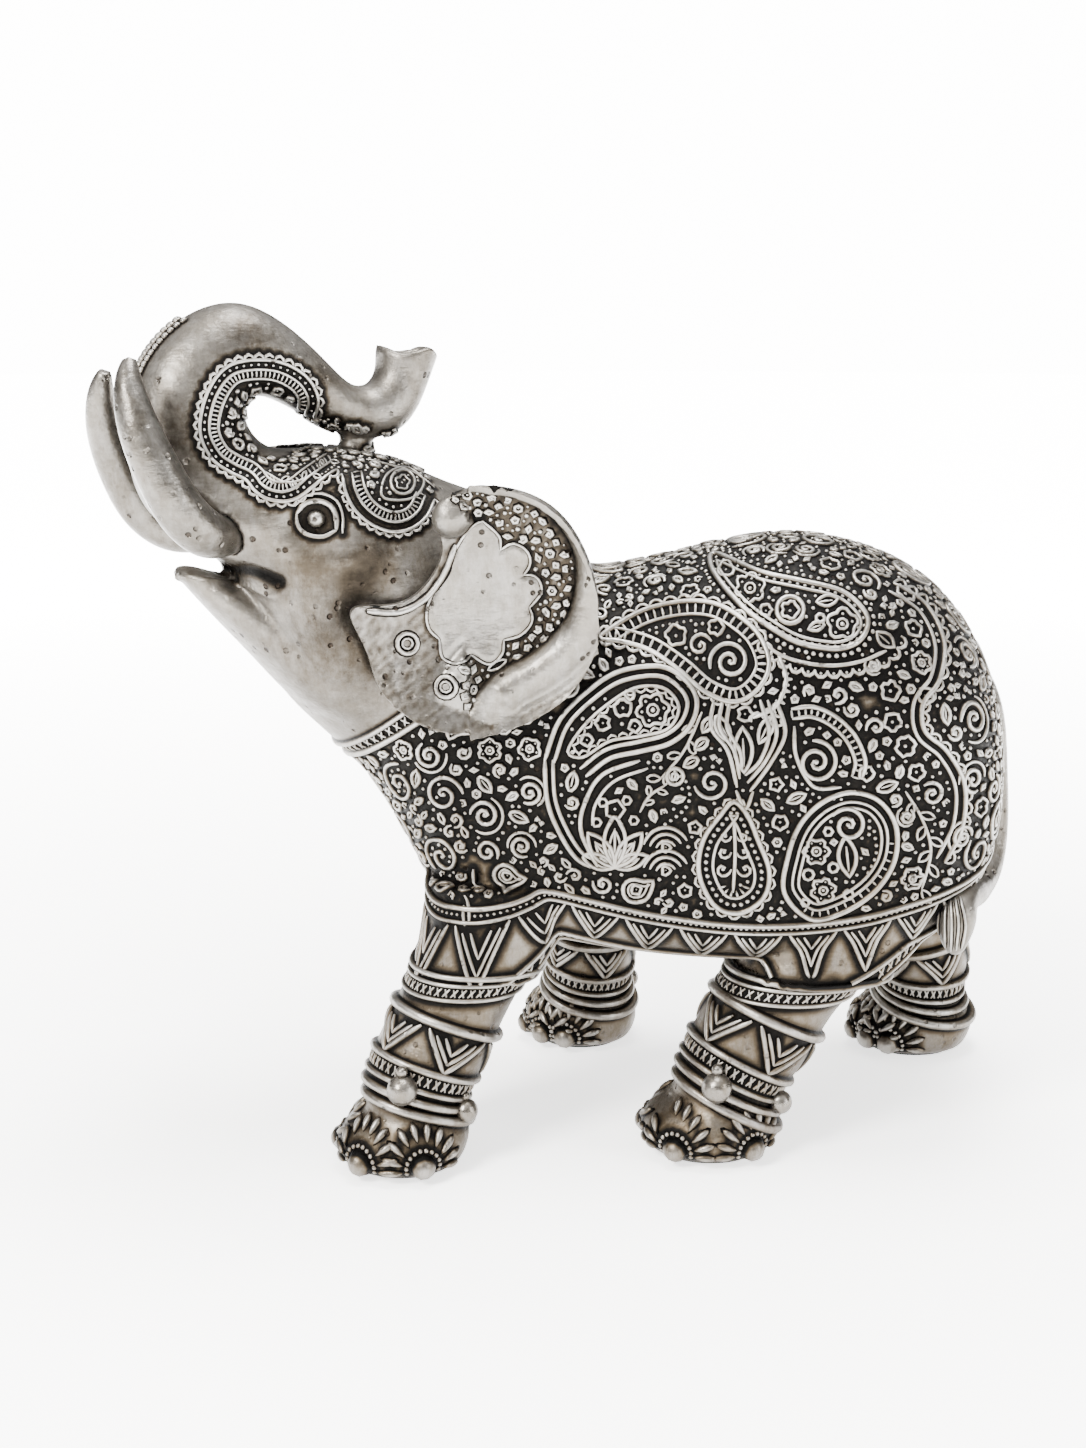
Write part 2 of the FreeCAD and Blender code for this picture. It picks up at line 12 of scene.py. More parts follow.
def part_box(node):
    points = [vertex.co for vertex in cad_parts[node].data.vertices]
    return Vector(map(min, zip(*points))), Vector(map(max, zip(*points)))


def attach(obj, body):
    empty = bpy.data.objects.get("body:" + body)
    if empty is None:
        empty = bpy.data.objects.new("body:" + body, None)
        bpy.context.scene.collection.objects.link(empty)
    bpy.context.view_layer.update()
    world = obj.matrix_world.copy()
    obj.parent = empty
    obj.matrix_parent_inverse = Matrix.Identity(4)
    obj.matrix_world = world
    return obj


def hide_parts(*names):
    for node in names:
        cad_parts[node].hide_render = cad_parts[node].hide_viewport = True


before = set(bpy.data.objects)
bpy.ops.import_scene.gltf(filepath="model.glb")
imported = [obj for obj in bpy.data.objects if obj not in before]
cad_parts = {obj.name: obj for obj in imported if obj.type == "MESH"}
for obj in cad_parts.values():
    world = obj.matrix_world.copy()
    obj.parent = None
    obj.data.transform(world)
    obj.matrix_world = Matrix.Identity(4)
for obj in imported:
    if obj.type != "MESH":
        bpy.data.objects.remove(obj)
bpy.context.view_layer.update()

# ---------------------------------------------------------------- sizes, in millimetres
MM = 0.001
SKIN_GRAIN = 0.78           # size of the skin's facets
FINE_GRAIN = 0.55           # for the ears, tusks and tail
VIEW_FROM = np.array([-5.3, -441.7, 198.6])
VIEW_DOWN = math.radians(13.2)
SHEET_AWAY = 376.2          # the drawing sheet of the near side stands this far from the viewing point
BODY_PLANE = -1.7           # the middle plane of the body, across
NECK = np.array([-28.9, -1.7, 113.9])
HEAD_TURN = math.radians(22.0)
EAR_FLARE = math.radians(20.0)
EAR_MIDDLE = (-0.8, 38.0, 14.5)
FAR_EAR_DROP = 3.0          # the far ear sits this much lower
EYE = (-36.8, 23.2, 35.7)
LINE = 0.62                 # half the width of a raised line
WAX_NEAR, WAX_FAR = 0.9, 3.0    # dark wax beside raised work: full up to here, gone from there
WAX_THINNER = 1.7           # on the head the wax reaches out this much less
SEED = 17

RIGHT = np.array([1.0, 0.0, 0.0])
FORWARD = np.array([0.0, math.cos(VIEW_DOWN), -math.sin(VIEW_DOWN)])
UPWARD = np.array([0.0, math.sin(VIEW_DOWN), math.cos(VIEW_DOWN)])
SKY = np.array([0.0, 0.0, 1.0])
BEAD_WAY = np.array([1.0, 0.3, 0.2])    # a bead is round, so any heading does
HEAD_ALONG = np.array([math.cos(HEAD_TURN), math.sin(HEAD_TURN), 0.0])
HEAD_OUT = np.array([math.sin(HEAD_TURN), -math.cos(HEAD_TURN), 0.0])
LEGS = ("front_left", "front_right", "hind_left", "hind_right")


def unit(v):
    v = np.asarray(v, float)
    return v / max(np.linalg.norm(v), 1e-9)


def in_head(along, out, up):
    """A point given from the neck joint, along the head, out to its left and up."""
    return NECK + HEAD_ALONG * along + HEAD_OUT * out + SKY * up


def head_sides(point):
    """The same point on the other side of the head."""
    return point - HEAD_OUT * 2 * np.dot(point - NECK, HEAD_OUT)


def body_sides(point):
    """The same point on the other side of the body."""
    return np.array([point[0], 2 * BODY_PLANE - point[1], point[2]])


def plane_zero(plane):
    """A point that the function for the other side leaves where it is."""
    return NECK if plane is head_sides else np.array([0.0, BODY_PLANE, 0.0])


# ---------------------------------------------------------------- skins of the castings
def tree_of(points):
    """A tree that finds the nearest of these points."""
    tree = KDTree(len(points))
    for i, p in enumerate(points):
        tree.insert(p, i)
    tree.balance()
    return tree


def links_of(faces):
    """The two ends of every side of the facets."""
    return np.concatenate([faces[:, [i, (i + 1) % 4]] for i in range(4)])


def relaxed(points, links):
    """Every point moved half way to the middle of its neighbours."""
    share = np.bincount(links[:, 0], minlength=len(points))[:, None]
    pull = np.stack([np.bincount(links[:, 0], points[links[:, 1], axis], len(points)) for axis in range(3)],
        1)
    return points * 0.5 + pull / share * 0.5


class Skin:
    """An even, smooth skin that raised work is laid on."""

    def __init__(self, points, faces):
        self.points, self.faces = points, faces
        self.refresh()

    def refresh(self):
        a, b, c, d = (self.points[self.faces[:, i]] for i in range(4))
        across = np.cross(c - a, d - b)
        total = np.zeros_like(self.points)
        for corner in range(4):
            for axis in range(3):
                total[:, axis] += np.bincount(self.faces[:, corner], across[:, axis], len(total))
        self.normals = total / np.maximum(np.linalg.norm(total, axis=1, keepdims=True), 1e-9)
        self.tree = BVHTree.FromPolygons(self.points.tolist(), self.faces.tolist())

    def landed(self, place, index):
        corners = self.faces[index]
        near = 1 / (np.linalg.norm(self.points[corners] - place, axis=1) + 0.08)
        return np.array(place), unit((self.normals[corners] * near[:, None]).sum(0))

    def drop(self, start, heading):
        place, _, index, _ = self.tree.ray_cast(Vector(start), Vector(heading))
        return None if place is None else self.landed(place, index)

    def nearest(self, point):
        place, _, index, _ = self.tree.find_nearest(Vector(point))
        return self.landed(place, index)


def largest_part(count, links):
    """Which points belong to the largest joined part."""
    label = np.arange(count)
    while True:
        lower = label.copy()
        np.minimum.at(lower, links[:, 0], label[links[:, 1]])
        np.minimum.at(lower, links[:, 1], label[links[:, 0]])
        lower = lower[lower]
        if (lower == label).all():
            break
        label = lower
    return label == np.bincount(label).argmax()


def evaluated(thing):
    """The mesh that an object's modifiers make. The object is removed."""
    view = bpy.context.evaluated_depsgraph_get()
    view.update()
    mesh = bpy.data.meshes.new_from_object(thing.evaluated_get(view), preserve_all_data_layers=True,
        depsgraph=view)
    thing.modifiers.clear()
    bpy.data.objects.remove(thing)
    return mesh


def new_object(name, mesh):
    thing = bpy.data.objects.new(name, mesh)
    bpy.context.scene.collection.objects.link(thing)
    return thing


def cast(nodes, grain, rounds):
    """One even skin over these CAD nodes, without the hollow inside."""
    shell = bmesh.new()
    for node in nodes:
        shell.from_mesh(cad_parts[node].data)
    bmesh.ops.remove_doubles(shell, verts=shell.verts, dist=1e-7)
    mesh = bpy.data.meshes.new("cast")
    shell.to_mesh(mesh)
    shell.free()
    thing = new_object("cast", mesh)
    remesh = thing.modifiers.new("even facets", "REMESH")
    remesh.mode, remesh.voxel_size = "VOXEL", grain * MM
    mesh = evaluated(thing)
    points = np.empty(len(mesh.vertices) * 3)
    mesh.vertices.foreach_get("co", points)
    points = points.reshape(-1, 3) / MM
    faces = np.empty(len(mesh.polygons) * 4, int)
    mesh.polygons.foreach_get("vertices", faces)
    faces = faces.reshape(-1, 4)
    keep = largest_part(len(points), links_of(faces))
    faces = faces[keep[faces[:, 0]]]
    order = np.cumsum(keep) - 1
    points, faces = points[keep], order[faces]
    links = links_of(faces)
    for _ in range(rounds):
        points = relaxed(points, links)
    return Skin(points, faces)


def push(skin, centre, reach, by, along=None):
    """Presses the skin in or draws it out round a point. reach is one number or one for each head axis."""
    rel = skin.points - centre
    axes = np.stack([HEAD_ALONG, HEAD_OUT, SKY])
    reach = np.array(reach if hasattr(reach, "__len__") else (reach,) * 3)
    weight = np.exp(-((rel @ axes.T / reach) ** 2).sum(1))
    way = skin.normals if along is None else unit(along)
    skin.points = skin.points + way * (weight * by)[:, None]


def crease(skin, line, reach, by):
    """Presses a groove, or draws a fold, along a line of points."""
    tree = tree_of(line)
    low, high = np.min(line, 0) - 3 * reach, np.max(line, 0) + 3 * reach
    inside = np.where(((skin.points > low) & (skin.points < high)).all(1))[0]
    for i in inside:
        away = tree.find(skin.points[i])[2]
        if away < 2.6 * reach:
            skin.points[i] += skin.normals[i] * by * math.exp(-((away / reach) ** 2))


# ---------------------------------------------------------------- drawings, in millimetres on a flat sheet
def smooth(points, closed=False, step=0.7):
    """A smooth line through a few points."""
    p = [np.array(q, float) for q in points]
    ring = [p[-1]] + p + [p[0], p[1]] if closed else [2 * p[0] - p[1]] + p + [2 * p[-1] - p[-2]]
    line = []
    for a, b, c, d in zip(ring, ring[1:], ring[2:], ring[3:]):
        parts = max(2, int(np.linalg.norm(c - b) / step))
        for i in range(parts):
            t = i / parts
            line.append(0.5 * (2 * b + (c - a) * t + (2 * a - 5 * b + 4 * c - d) * t * t
                               + (3 * b - a - 3 * c + d) * t ** 3))
    if not closed:
        line.append(p[-1])
    return np.array(line)


def evenly(line, spacing, closed=False):
    """Points at an even spacing along a line, with the line's heading at each."""
    line = np.array(line, float)
    if closed:
        line = np.vstack([line, line[:1]])
    run = np.concatenate([[0], np.cumsum(np.linalg.norm(np.diff(line, axis=0), axis=1))])
    count = max(1, round(run[-1] / spacing))
    at = np.linspace(0, run[-1], count + 1)[: count if closed else None]
    places = np.stack([np.interp(at, run, line[:, k]) for k in range(line.shape[1])], 1)
    ahead = np.stack([np.interp(np.minimum(at + 0.3, run[-1]), run, line[:,
        k]) for k in range(line.shape[1])], 1)
    behind = np.stack([np.interp(np.maximum(at - 0.3, 0), run, line[:, k]) for k in range(line.shape[1])],
        1)
    return places, ahead - behind


def beside(line, away, closed=False):
    """The line moved sideways, to its left."""
    line = np.array(line, float)
    ahead = np.roll(line, -1, 0) - np.roll(line, 1, 0) if closed else np.gradient(line, axis=0)
    ahead /= np.maximum(np.linalg.norm(ahead, axis=1, keepdims=True), 1e-9)
    return line + np.stack([-ahead[:, 1], ahead[:, 0]], 1) * away


def inside_of(outline, point):
    x, y = point
    odd = False
    for (ax, ay), (bx, by) in zip(outline, np.roll(outline, -1, 0)):
        if (ay > y) != (by > y) and x < (bx - ax) * (y - ay) / (by - ay) + ax:
            odd = not odd
    return odd


class Drawing:
    """Lines, beads and petals on a flat sheet."""

    def __init__(self):
        self.lines, self.beads, self.petals = [], [], []

    def line(self, points, broad=1.0, closed=False):
        path = smooth(points, closed)
        self.lines.append((path, broad, closed))
        return path

    def double(self, line, broad, away, second):
        """A line with another one beside it."""
        self.lines += [(line, broad, False), (beside(line, away), second, False)]

    def ring(self, x, y, radius, broad=0.8, start=0.0, end=360.0):
        closed = end - start >= 360
        count = max(7, int(math.radians(end - start) * radius / 0.6))
        turn = np.radians(np.linspace(start, end, count, endpoint=not closed))
        path = np.stack([x + radius * np.cos(turn), y + radius * np.sin(turn)], 1)
        self.lines.append((path, broad, closed))
        return path

    def spiral(self, x, y, radius, turns=1.6, start=0.0, way=1, broad=0.9):
        count = max(10, int(turns * radius * 5))
        t = np.linspace(0, 1, count)
        turn = math.radians(start) + way * t * turns * 2 * math.pi
        r = radius * (1 - 0.88 * t)
        path = np.stack([x + r * np.cos(turn), y + r * np.sin(turn)], 1)
        self.lines.append((path, broad, False))
        self.beads.append((x, y, broad * 0.75))
        return path

    def flower(self, x, y, radius, petals=5, turn=0.0, broad=0.75):
        t = np.linspace(0, 2 * math.pi, max(30, petals * 8), endpoint=False)
        r = radius * (0.66 + 0.34 * np.abs(np.cos(petals * (t - math.radians(turn)) / 2)) ** 0.8)
        self.lines.append((np.stack([x + r * np.cos(t), y + r * np.sin(t)], 1), broad, True))
        if radius > 2.4:
            self.ring(x, y, radius * 0.34, broad * 0.8)
            for k in range(petals):
                a = math.radians(turn) + 2 * math.pi * k / petals
                self.beads.append((x + radius * 0.66 * math.cos(a), y + radius * 0.66 * math.sin(a),
                    radius * 0.12))
        self.beads.append((x, y, radius * 0.2))

    def leaf(self, x, y, length, width, heading, broad=0.7, rib=True):
        """A pointed outline from its stem at x, y."""
        t = np.linspace(0, 1, max(7, int(length)))
        side = np.sin(math.pi * t) ** 0.9 * width / 2
        up = np.concatenate([t, t[-2:0:-1]]) * length
        off = np.concatenate([side, -side[-2:0:-1]])
        c, s = math.cos(math.radians(heading)), math.sin(math.radians(heading))
        self.lines.append((np.stack([x + up * c - off * s, y + up * s + off * c], 1), broad, True))
        if rib:
            mid = np.linspace(0.12, 0.75, max(3, int(length * 0.6))) * length
            self.lines.append((np.stack([x + mid * c, y + mid * s], 1), broad * 0.7, False))

    def petal(self, x, y, heading, length, width):
        self.petals.append((x, y, math.radians(heading), length / 2, width / 2))

    def beads_along(self, line, spacing, radius, closed=False, away=0.0):
        path = beside(line, away, closed) if away else line
        for x, y in evenly(path, spacing, closed)[0]:
            self.beads.append((x, y, radius))

    def ticks(self, line, spacing, inner, outer, broad=0.55, closed=False):
        """Short bars across a band beside a line."""
        places, ways = evenly(line, spacing, closed)
        for p, way in zip(places, ways):
            way = way / max(np.linalg.norm(way), 1e-9)
            left = np.array([-way[1], way[0]])
            a, b = p + left * inner, p + left * outer
            self.lines.append((np.linspace(a, b, max(3, int(abs(outer - inner) / 0.6) + 1)), broad, False))

    def scallops(self, line, width, height, broad=0.7, closed=False, dots=0.0):
        """A row of arches beside a line, with a bead in each when dots is given."""
        places, ways = evenly(line, width, closed)
        count = len(places) if closed else len(places) - 1
        for i in range(count):
            a, b = places[i], places[(i + 1) % len(places)]
            left = np.array([-(b - a)[1], (b - a)[0]])
            left /= max(np.linalg.norm(left), 1e-9)
            t = np.linspace(0, math.pi, 7)
            middle, half = (a + b) / 2, (b - a) / 2
            self.lines.append((middle - np.outer(np.cos(t), half) + np.outer(np.sin(t), left * height),
                broad, False))
            if dots:
                self.beads.append((*(middle + left * height * 0.42), dots))

    def twig(self, points, leaves, length=2.6, broad=0.7):
        """A stem with leaves on both sides."""
        stem = self.line(points, broad)
        places, ways = evenly(stem, max(1.2, np.linalg.norm(np.diff(stem, axis=0), axis=1).sum() / leaves))
        for i, (p, way) in enumerate(zip(places[1:], ways[1:])):
            heading = math.degrees(math.atan2(way[1], way[0])) + (48 if i % 2 else -48)
            self.leaf(p[0], p[1], length, length * 0.48, heading, broad * 0.85, rib=False)

    def paisley(self, points, rings=(1.1, 2.1), bead=0.0, broad=1.0):
        """A drop with a bent tip, drawn clockwise, with lines inside it."""
        outline = self.line(points, broad, closed=True)
        for away in rings:
            inner = beside(outline, -away, closed=True)
            self.lines.append((inner, broad * 0.62, True))
        if bead:
            self.beads_along(outline, bead * 2.5, bead, closed=True, away=1.35)
        return outline


# ---------------------------------------------------------------- laying drawings on a skin
def on_sheet(skin):
    """The chart of the near side: the sheet's place is carried on to the skin from the viewing point."""
    def chart(x, y):
        return skin.drop(VIEW_FROM, unit(FORWARD * SHEET_AWAY + RIGHT * x + UPWARD * y))
    return chart


def apart(hits):
    """Landed points as an array of places and an array of normals."""
    return np.array([h[0] for h in hits]), np.array([h[1] for h in hits])


class Patch:
    """The chart of a small drawing round one point of the skin."""

    def __init__(self, skin, anchor, up, turn=0.0):
        self.skin, (self.place, self.normal) = skin, anchor
        up = np.asarray(up, float)
        rise = unit(up - self.normal * np.dot(up, self.normal))
        side = np.cross(rise, self.normal)
        c, s = math.cos(math.radians(turn)), math.sin(math.radians(turn))
        self.up, self.side = rise * c - side * s, side * c + rise * s

    def __call__(self, x, y):
        start = self.place + self.side * x + self.up * y + self.normal * 7
        hit = self.skin.drop(start, -self.normal)
        return None if hit is None or np.linalg.norm(hit[0] - start) > 15 else hit


class Work:
    """The raised work of one piece, landed on its skin."""

    def __init__(self, name):
        self.name, self.lines, self.beads, self.petals = name, [], [], []

    def run(self, places, normals, broad, closed):
        if len(places) < 3:
            return
        both, _ = evenly(np.hstack([places, normals]), 1.0 if broad > 0.65 else 0.85, closed)
        places, normals = both[:, :3], both[:, 3:]
        if len(places) < 3:
            return
        width = np.full(len(places), float(broad))
        if not closed:
            from_end = np.minimum(np.arange(len(places)), np.arange(len(places))[::-1])
            width *= np.clip(0.55 + 0.3 * from_end, 0, 1)
        self.lines.append((places, normals, width, closed))

    def bead(self, hit, size):
        self.beads.append((hit[0], hit[1], BEAD_WAY, np.array(size)))

    def draw(self, chart, drawing):
        for path, broad, closed in drawing.lines:
            hits = [chart(x, y) for x, y in path]
            if closed and all(h is not None for h in hits):
                gaps = [np.linalg.norm(a[0] - b[0]) for a, b in zip(hits, hits[1:] + hits[:1])]
                if max(gaps) < 6:
                    self.run(*apart(hits), broad, True)
                    continue
            part = []
            for h in hits + [None]:
                if h is None or part and np.linalg.norm(h[0] - part[-1][0]) > 5:
                    if len(part) > 2:
                        self.run(*apart(part), broad, False)
                    part = []
                if h is not None:
                    part.append(h)
        for x, y, radius in drawing.beads:
            hit = chart(x, y)
            if hit is not None:
                self.bead(hit, (radius, radius, radius))
        for x, y, heading, length, width in drawing.petals:
            hit, ahead = chart(x, y), chart(x + 0.4 * math.cos(heading), y + 0.4 * math.sin(heading))
            if hit is not None and ahead is not None:
                self.petals.append((hit[0], hit[1], unit(ahead[0] - hit[0]),
                    np.array([length, width, width * 0.9])))

    def other_side(self, name, plane, skin, shift=(0, 0, 0)):
        """The same work on the other side of the body or head."""
        twin = Work(name)
        zero = plane_zero(plane)
        for places, normals, width, closed in self.lines:
            landed = [skin.nearest(plane(p) + shift) for p in places]
            twin.lines.append((*apart(landed), width, closed))
        for kind in ("beads", "petals"):
            for place, normal, way, size in getattr(self, kind):
                hit = skin.nearest(plane(place) + shift)
                getattr(twin, kind).append((hit[0], hit[1], plane(zero + way) - zero, size))
        return twin

    def trim(self, keep):
        """Leaves out what lies where keep says no."""
        lines = []
        for places, normals, width, closed in self.lines:
            good = np.array([keep(p) for p in places])
            if good.all():
                lines.append((places, normals, width, closed))
                continue
            start = None
            for i, g in enumerate(list(good) + [False]):
                if g and start is None:
                    start = i
                if not g and start is not None:
                    if i - start > 3:
                        lines.append((places[start:i], normals[start:i], width[start:i], False))
                    start = None
        self.lines = lines
        self.beads = [b for b in self.beads if keep(b[0])]
        self.petals = [b for b in self.petals if keep(b[0])]

    def samples(self):
        """Points under the raised work."""
        places = [p for run in self.lines for p in run[0]]
        return places + [b[0] for b in self.beads + self.petals]


# ---------------------------------------------------------------- nodes
class Reading:
    """A node's output. Sums written in Python add Math nodes."""

    def __init__(self, nodes, socket):
        self.nodes, self.socket = nodes, socket

    def sum(self, operation, first, second=0.0, limit=False):
        return self.nodes.add("ShaderNodeMath", {"operation": operation, "use_clamp": limit},
            {0: first, 1: second})

    def __add__(self, other):
        return self.sum("ADD", self, other)

    def __radd__(self, other):
        return self.sum("ADD", other, self)

    def __sub__(self, other):
        return self.sum("SUBTRACT", self, other)

    def __rsub__(self, other):
        return self.sum("SUBTRACT", other, self)

    def __mul__(self, other):
        return self.sum("MULTIPLY", self, other)

    def __rmul__(self, other):
        return self.sum("MULTIPLY", other, self)

    def __truediv__(self, other):
        return self.sum("DIVIDE", self, other)

    def __rtruediv__(self, other):
        return self.sum("DIVIDE", other, self)

    def __pow__(self, other):
        return self.sum("POWER", self, other)

    def limited(self):
        return self.sum("ADD", self, 0.0, True)


class Nodes:
    """A node tree that nodes are added to one by one."""

    def __init__(self, tree):
        self.tree = tree

    def put(self, socket, value):
        """Gives a socket a value, or links it to the output of another node."""
        if isinstance(value, Reading):
            self.tree.links.new(value.socket, socket)
        else:
            socket.default_value = value

    def add(self, kind, settings=None, inputs=None, out=0):
        node = self.tree.nodes.new(kind)
        for name, value in (settings or {}).items():
            if name == "stops":
                ramp = node.color_ramp
                ramp.elements[0].position, ramp.elements[1].position = value[0][0], value[-1][0]
                ramp.elements[0].color, ramp.elements[1].color = value[0][1], value[-1][1]
                for place, colour in value[1:-1]:
                    ramp.elements.new(place).color = colour
            else:
                setattr(node, name, value)
        for name, value in (inputs or {}).items():
            self.put(node.inputs[name], value)
        return Reading(self, node.outputs[out]) if node.outputs else node


class Finish(Nodes):
    """A material on a Principled shader."""

    def __init__(self, name, **sockets):
        self.material = bpy.data.materials.new(name)
        self.material.use_nodes = True
        super().__init__(self.material.node_tree)
        self.shader = next(n for n in self.tree.nodes if n.type == "BSDF_PRINCIPLED")
        self.feed(**sockets)
        self.place = self.add("ShaderNodeTexCoord", out="Object")

    def feed(self, **sockets):
        for name, value in sockets.items():
            self.put(self.shader.inputs[name.replace("_", " ")], value)

    def noise(self, scale, detail=3.0, rough=0.55, stretch=None):
        place = self.place
        if stretch:
            place = self.add("ShaderNodeMapping", inputs={"Vector": place, "Scale": stretch})
        return self.add("ShaderNodeTexNoise", inputs={"Vector": place, "Scale": scale, "Detail": detail,
            "Roughness": rough})

    def tone(self):
        return self.add("ShaderNodeAttribute", {"attribute_name": "tone"}, out="Fac")

    def ramp(self, fac, *stops):
        stops = [(place, (*colour, 1.0)) for place, colour in stops]
        return self.add("ShaderNodeValToRGB", {"stops": stops}, {"Fac": fac})

    def level(self, value, low, high, to_low=0.0, to_high=1.0):
        return self.add("ShaderNodeMapRange", {"clamp": True}, {"Value": value, "From Min": low,
            "From Max": high, "To Min": to_low, "To Max": to_high})

    def mix(self, fac, first, second, blend="MIX"):
        node = self.tree.nodes.new("ShaderNodeMix")
        node.data_type, node.blend_type = "RGBA", blend
        colours = [s for s in node.inputs if s.type == "RGBA"]
        for socket, value in ((node.inputs[0], fac), (colours[0], first), (colours[1], second)):
            self.put(socket, (*value, 1.0) if hasattr(value, "__len__") else value)
        return Reading(self, next(s for s in node.outputs if s.type == "RGBA"))

    def bump(self, height, strength, distance, over=None):
        inputs = {"Height": height, "Strength": strength, "Distance": distance}
        if over is not None:
            inputs["Normal"] = over
        return self.add("ShaderNodeBump", inputs=inputs)


def antique_silver(name, bright=1.0, pits=1.0, patina=1.0, roughness=0.36, plain=None):
    """Cast metal with dark wax left in the hollows and rubbed silver on the high places, with painted shade
    that turns it darker and browner towards the bottom.
    """
    f = Finish(name, Metallic=0.92)
    tone = f.tone() if plain is None else f.level(f.noise(8.0, 2.0), 0.0, 1.0, plain - 0.06, plain + 0.06)
    cloud = f.noise(38.0, 4.0, 0.6)
    fine = f.noise(420.0, 4.0, 0.65)
    rubbed = f.noise(150.0, 5.0, 0.7, stretch=(1.0, 1.0, 4.0))
    level = (tone + (cloud - 0.5) * (0.44 * patina) + (fine - 0.5) * 0.30).limited()
    shades = ((0.0, (0.0009, 0.0007, 0.0005)), (0.26, (0.0032, 0.0025, 0.0018)),
        (0.44, (0.026, 0.021, 0.0155)),
              (0.62, (0.100, 0.091, 0.078)), (0.82, (0.165, 0.155, 0.138)), (1.0, (0.40, 0.39, 0.37)))
    colour = f.ramp(level, *((place, tuple(c * bright for c in shade)) for place, shade in shades))
    cell = f.add("ShaderNodeTexVoronoi", {"feature": "F1"}, {"Vector": f.place, "Scale": 330.0,
        "Randomness": 1.0}, out="Distance")
    sparse = f.level(f.noise(85.0, 3.0), 0.50, 0.58)
    pit = (f.level(cell, 0.15, 0.25, 1.0, 0.0) * sparse) * pits
    height = f.add("ShaderNodeSeparateXYZ", inputs={"Vector": f.place}, out="Z")
    # painted shade: the colour turns darker and browner towards the bottom of the figurine, on top of random
    # dust patches
    lower = f.level(height, 0.0, 0.13, 0.42, 0.08)
    dust_and_low_shade = f.level(f.noise(26.0, 5.0, 0.7), 0.42, 0.70) * (0.30 * patina) + lower * patina
    colour = f.mix((dust_and_low_shade * f.level(tone, 0.15, 0.5)).limited(), colour, (0.062, 0.045, 0.026))
    streak = f.level(f.noise(150.0, 8.0, 0.8, stretch=(1.0, 1.0, 0.4)), 0.44, 0.60)
    colour = f.mix((streak * f.level(tone, 0.4, 0.9, 0.0, 0.42)).limited(), colour, (0.29, 0.285, 0.276))
    colour = f.mix((pit * 0.9).limited(), colour, (0.010, 0.0065, 0.004))
    rough = f.level(rubbed, 0.3, 0.7, roughness - 0.07, roughness + 0.10) + f.level(tone, 0.0, 0.7, 0.25,
        0.0)
    dents = f.bump(f.noise(95.0, 4.0, 0.6), 0.55, 0.0011)
    grain = f.bump(rubbed, 0.4, 0.0004, dents)
    f.feed(Base_Color=colour, Roughness=rough.limited(), Normal=f.bump(1.0 - pit, 0.9, 0.0006, grain))
    return f.material


def steel_pin():
    f = Finish("steel_pin", Metallic=1.0)
    drawn = f.noise(600.0, 3.0, 0.6, stretch=(1.0, 1.0, 0.05))
    f.feed(Base_Color=f.ramp(drawn, (0.2, (0.36, 0.36, 0.37)), (0.8, (0.6, 0.6, 0.6))),
        Roughness=f.level(drawn, 0.2, 0.8, 0.25, 0.45))
    f.feed(Normal=f.bump(drawn, 0.2, 0.0001))
    return f.material


def dark_felt():
    f = Finish("felt", Roughness=0.95)
    hair = f.noise(1400.0, 5.0, 0.75)
    tuft = f.noise(260.0, 3.0)
    f.feed(Base_Color=f.ramp(hair * 0.6 + tuft * 0.4, (0.3, (0.012, 0.012, 0.013)),
        (0.7, (0.055, 0.056, 0.06))))
    f.feed(Normal=f.bump(hair, 0.7, 0.0004))
    return f.material


def stopper_rubber():
    f = Finish("stopper_rubber", Roughness=0.6)
    dust = f.noise(220.0, 5.0, 0.7)
    f.feed(Base_Color=f.ramp(dust, (0.3, (0.02, 0.02, 0.02)), (0.75, (0.06, 0.057, 0.053))),
        Roughness=f.level(dust, 0.3, 0.7, 0.5, 0.75))
    f.feed(Normal=f.bump(dust, 0.3, 0.0003))
    return f.material


def pale_floor():
    """A paper floor that glows more towards its edge, where it meets the wall of the room."""
    f = Finish("floor", Roughness=0.8, Emission_Strength=1.0)
    f.feed(Base_Color=f.ramp(f.noise(3.0, 2.0), (0.3, (0.90, 0.895, 0.885)), (0.7, (0.915, 0.91, 0.90))))
    away = f.add("ShaderNodeVectorMath", {"operation": "LENGTH"}, {0: f.place}, out="Value")
    glow = f.level(away, 0.10, 0.8, 2.1, 14.0)
    f.feed(Emission_Color=f.mix(1.0, glow, (1.0, 0.995, 0.985), "MULTIPLY"))
    return f.material


# ---------------------------------------------------------------- making the raised work solid
def point_mesh(name, places, links, **attributes):
    mesh = bpy.data.meshes.new(name)
    mesh.from_pydata([tuple(p) for p in np.asarray(places, float).reshape(-1, 3) * MM], links, [])
    for key, values in attributes.items():
        values = np.asarray(values, float)
        vector = values.ndim == 2
        layer = mesh.attributes.new(key, "FLOAT_VECTOR" if vector else "FLOAT", "POINT")
        layer.data.foreach_set("vector" if vector else "value", values.ravel())
    return mesh


def section_of_a_line():
    """Across a raised line: (height, sideways, tone) in shares of half its width."""
    side = [(-0.55, 1.75, 0.1), (0.05, 1.30, 0.0), (0.22, 1.0, 0.04), (1.05, 0.82, 0.60),
        (1.42, 0.36, 0.92)]
    ring = side + [(h, -w, t) for h, w, t in reversed(side)]
    mesh = point_mesh("section", [(h * LINE, w * LINE, 0) for h, w, _ in ring],
                      [(i, (i + 1) % len(ring)) for i in range(len(ring))], tone=[t for _, _, t in ring])
    return new_object("section", mesh)


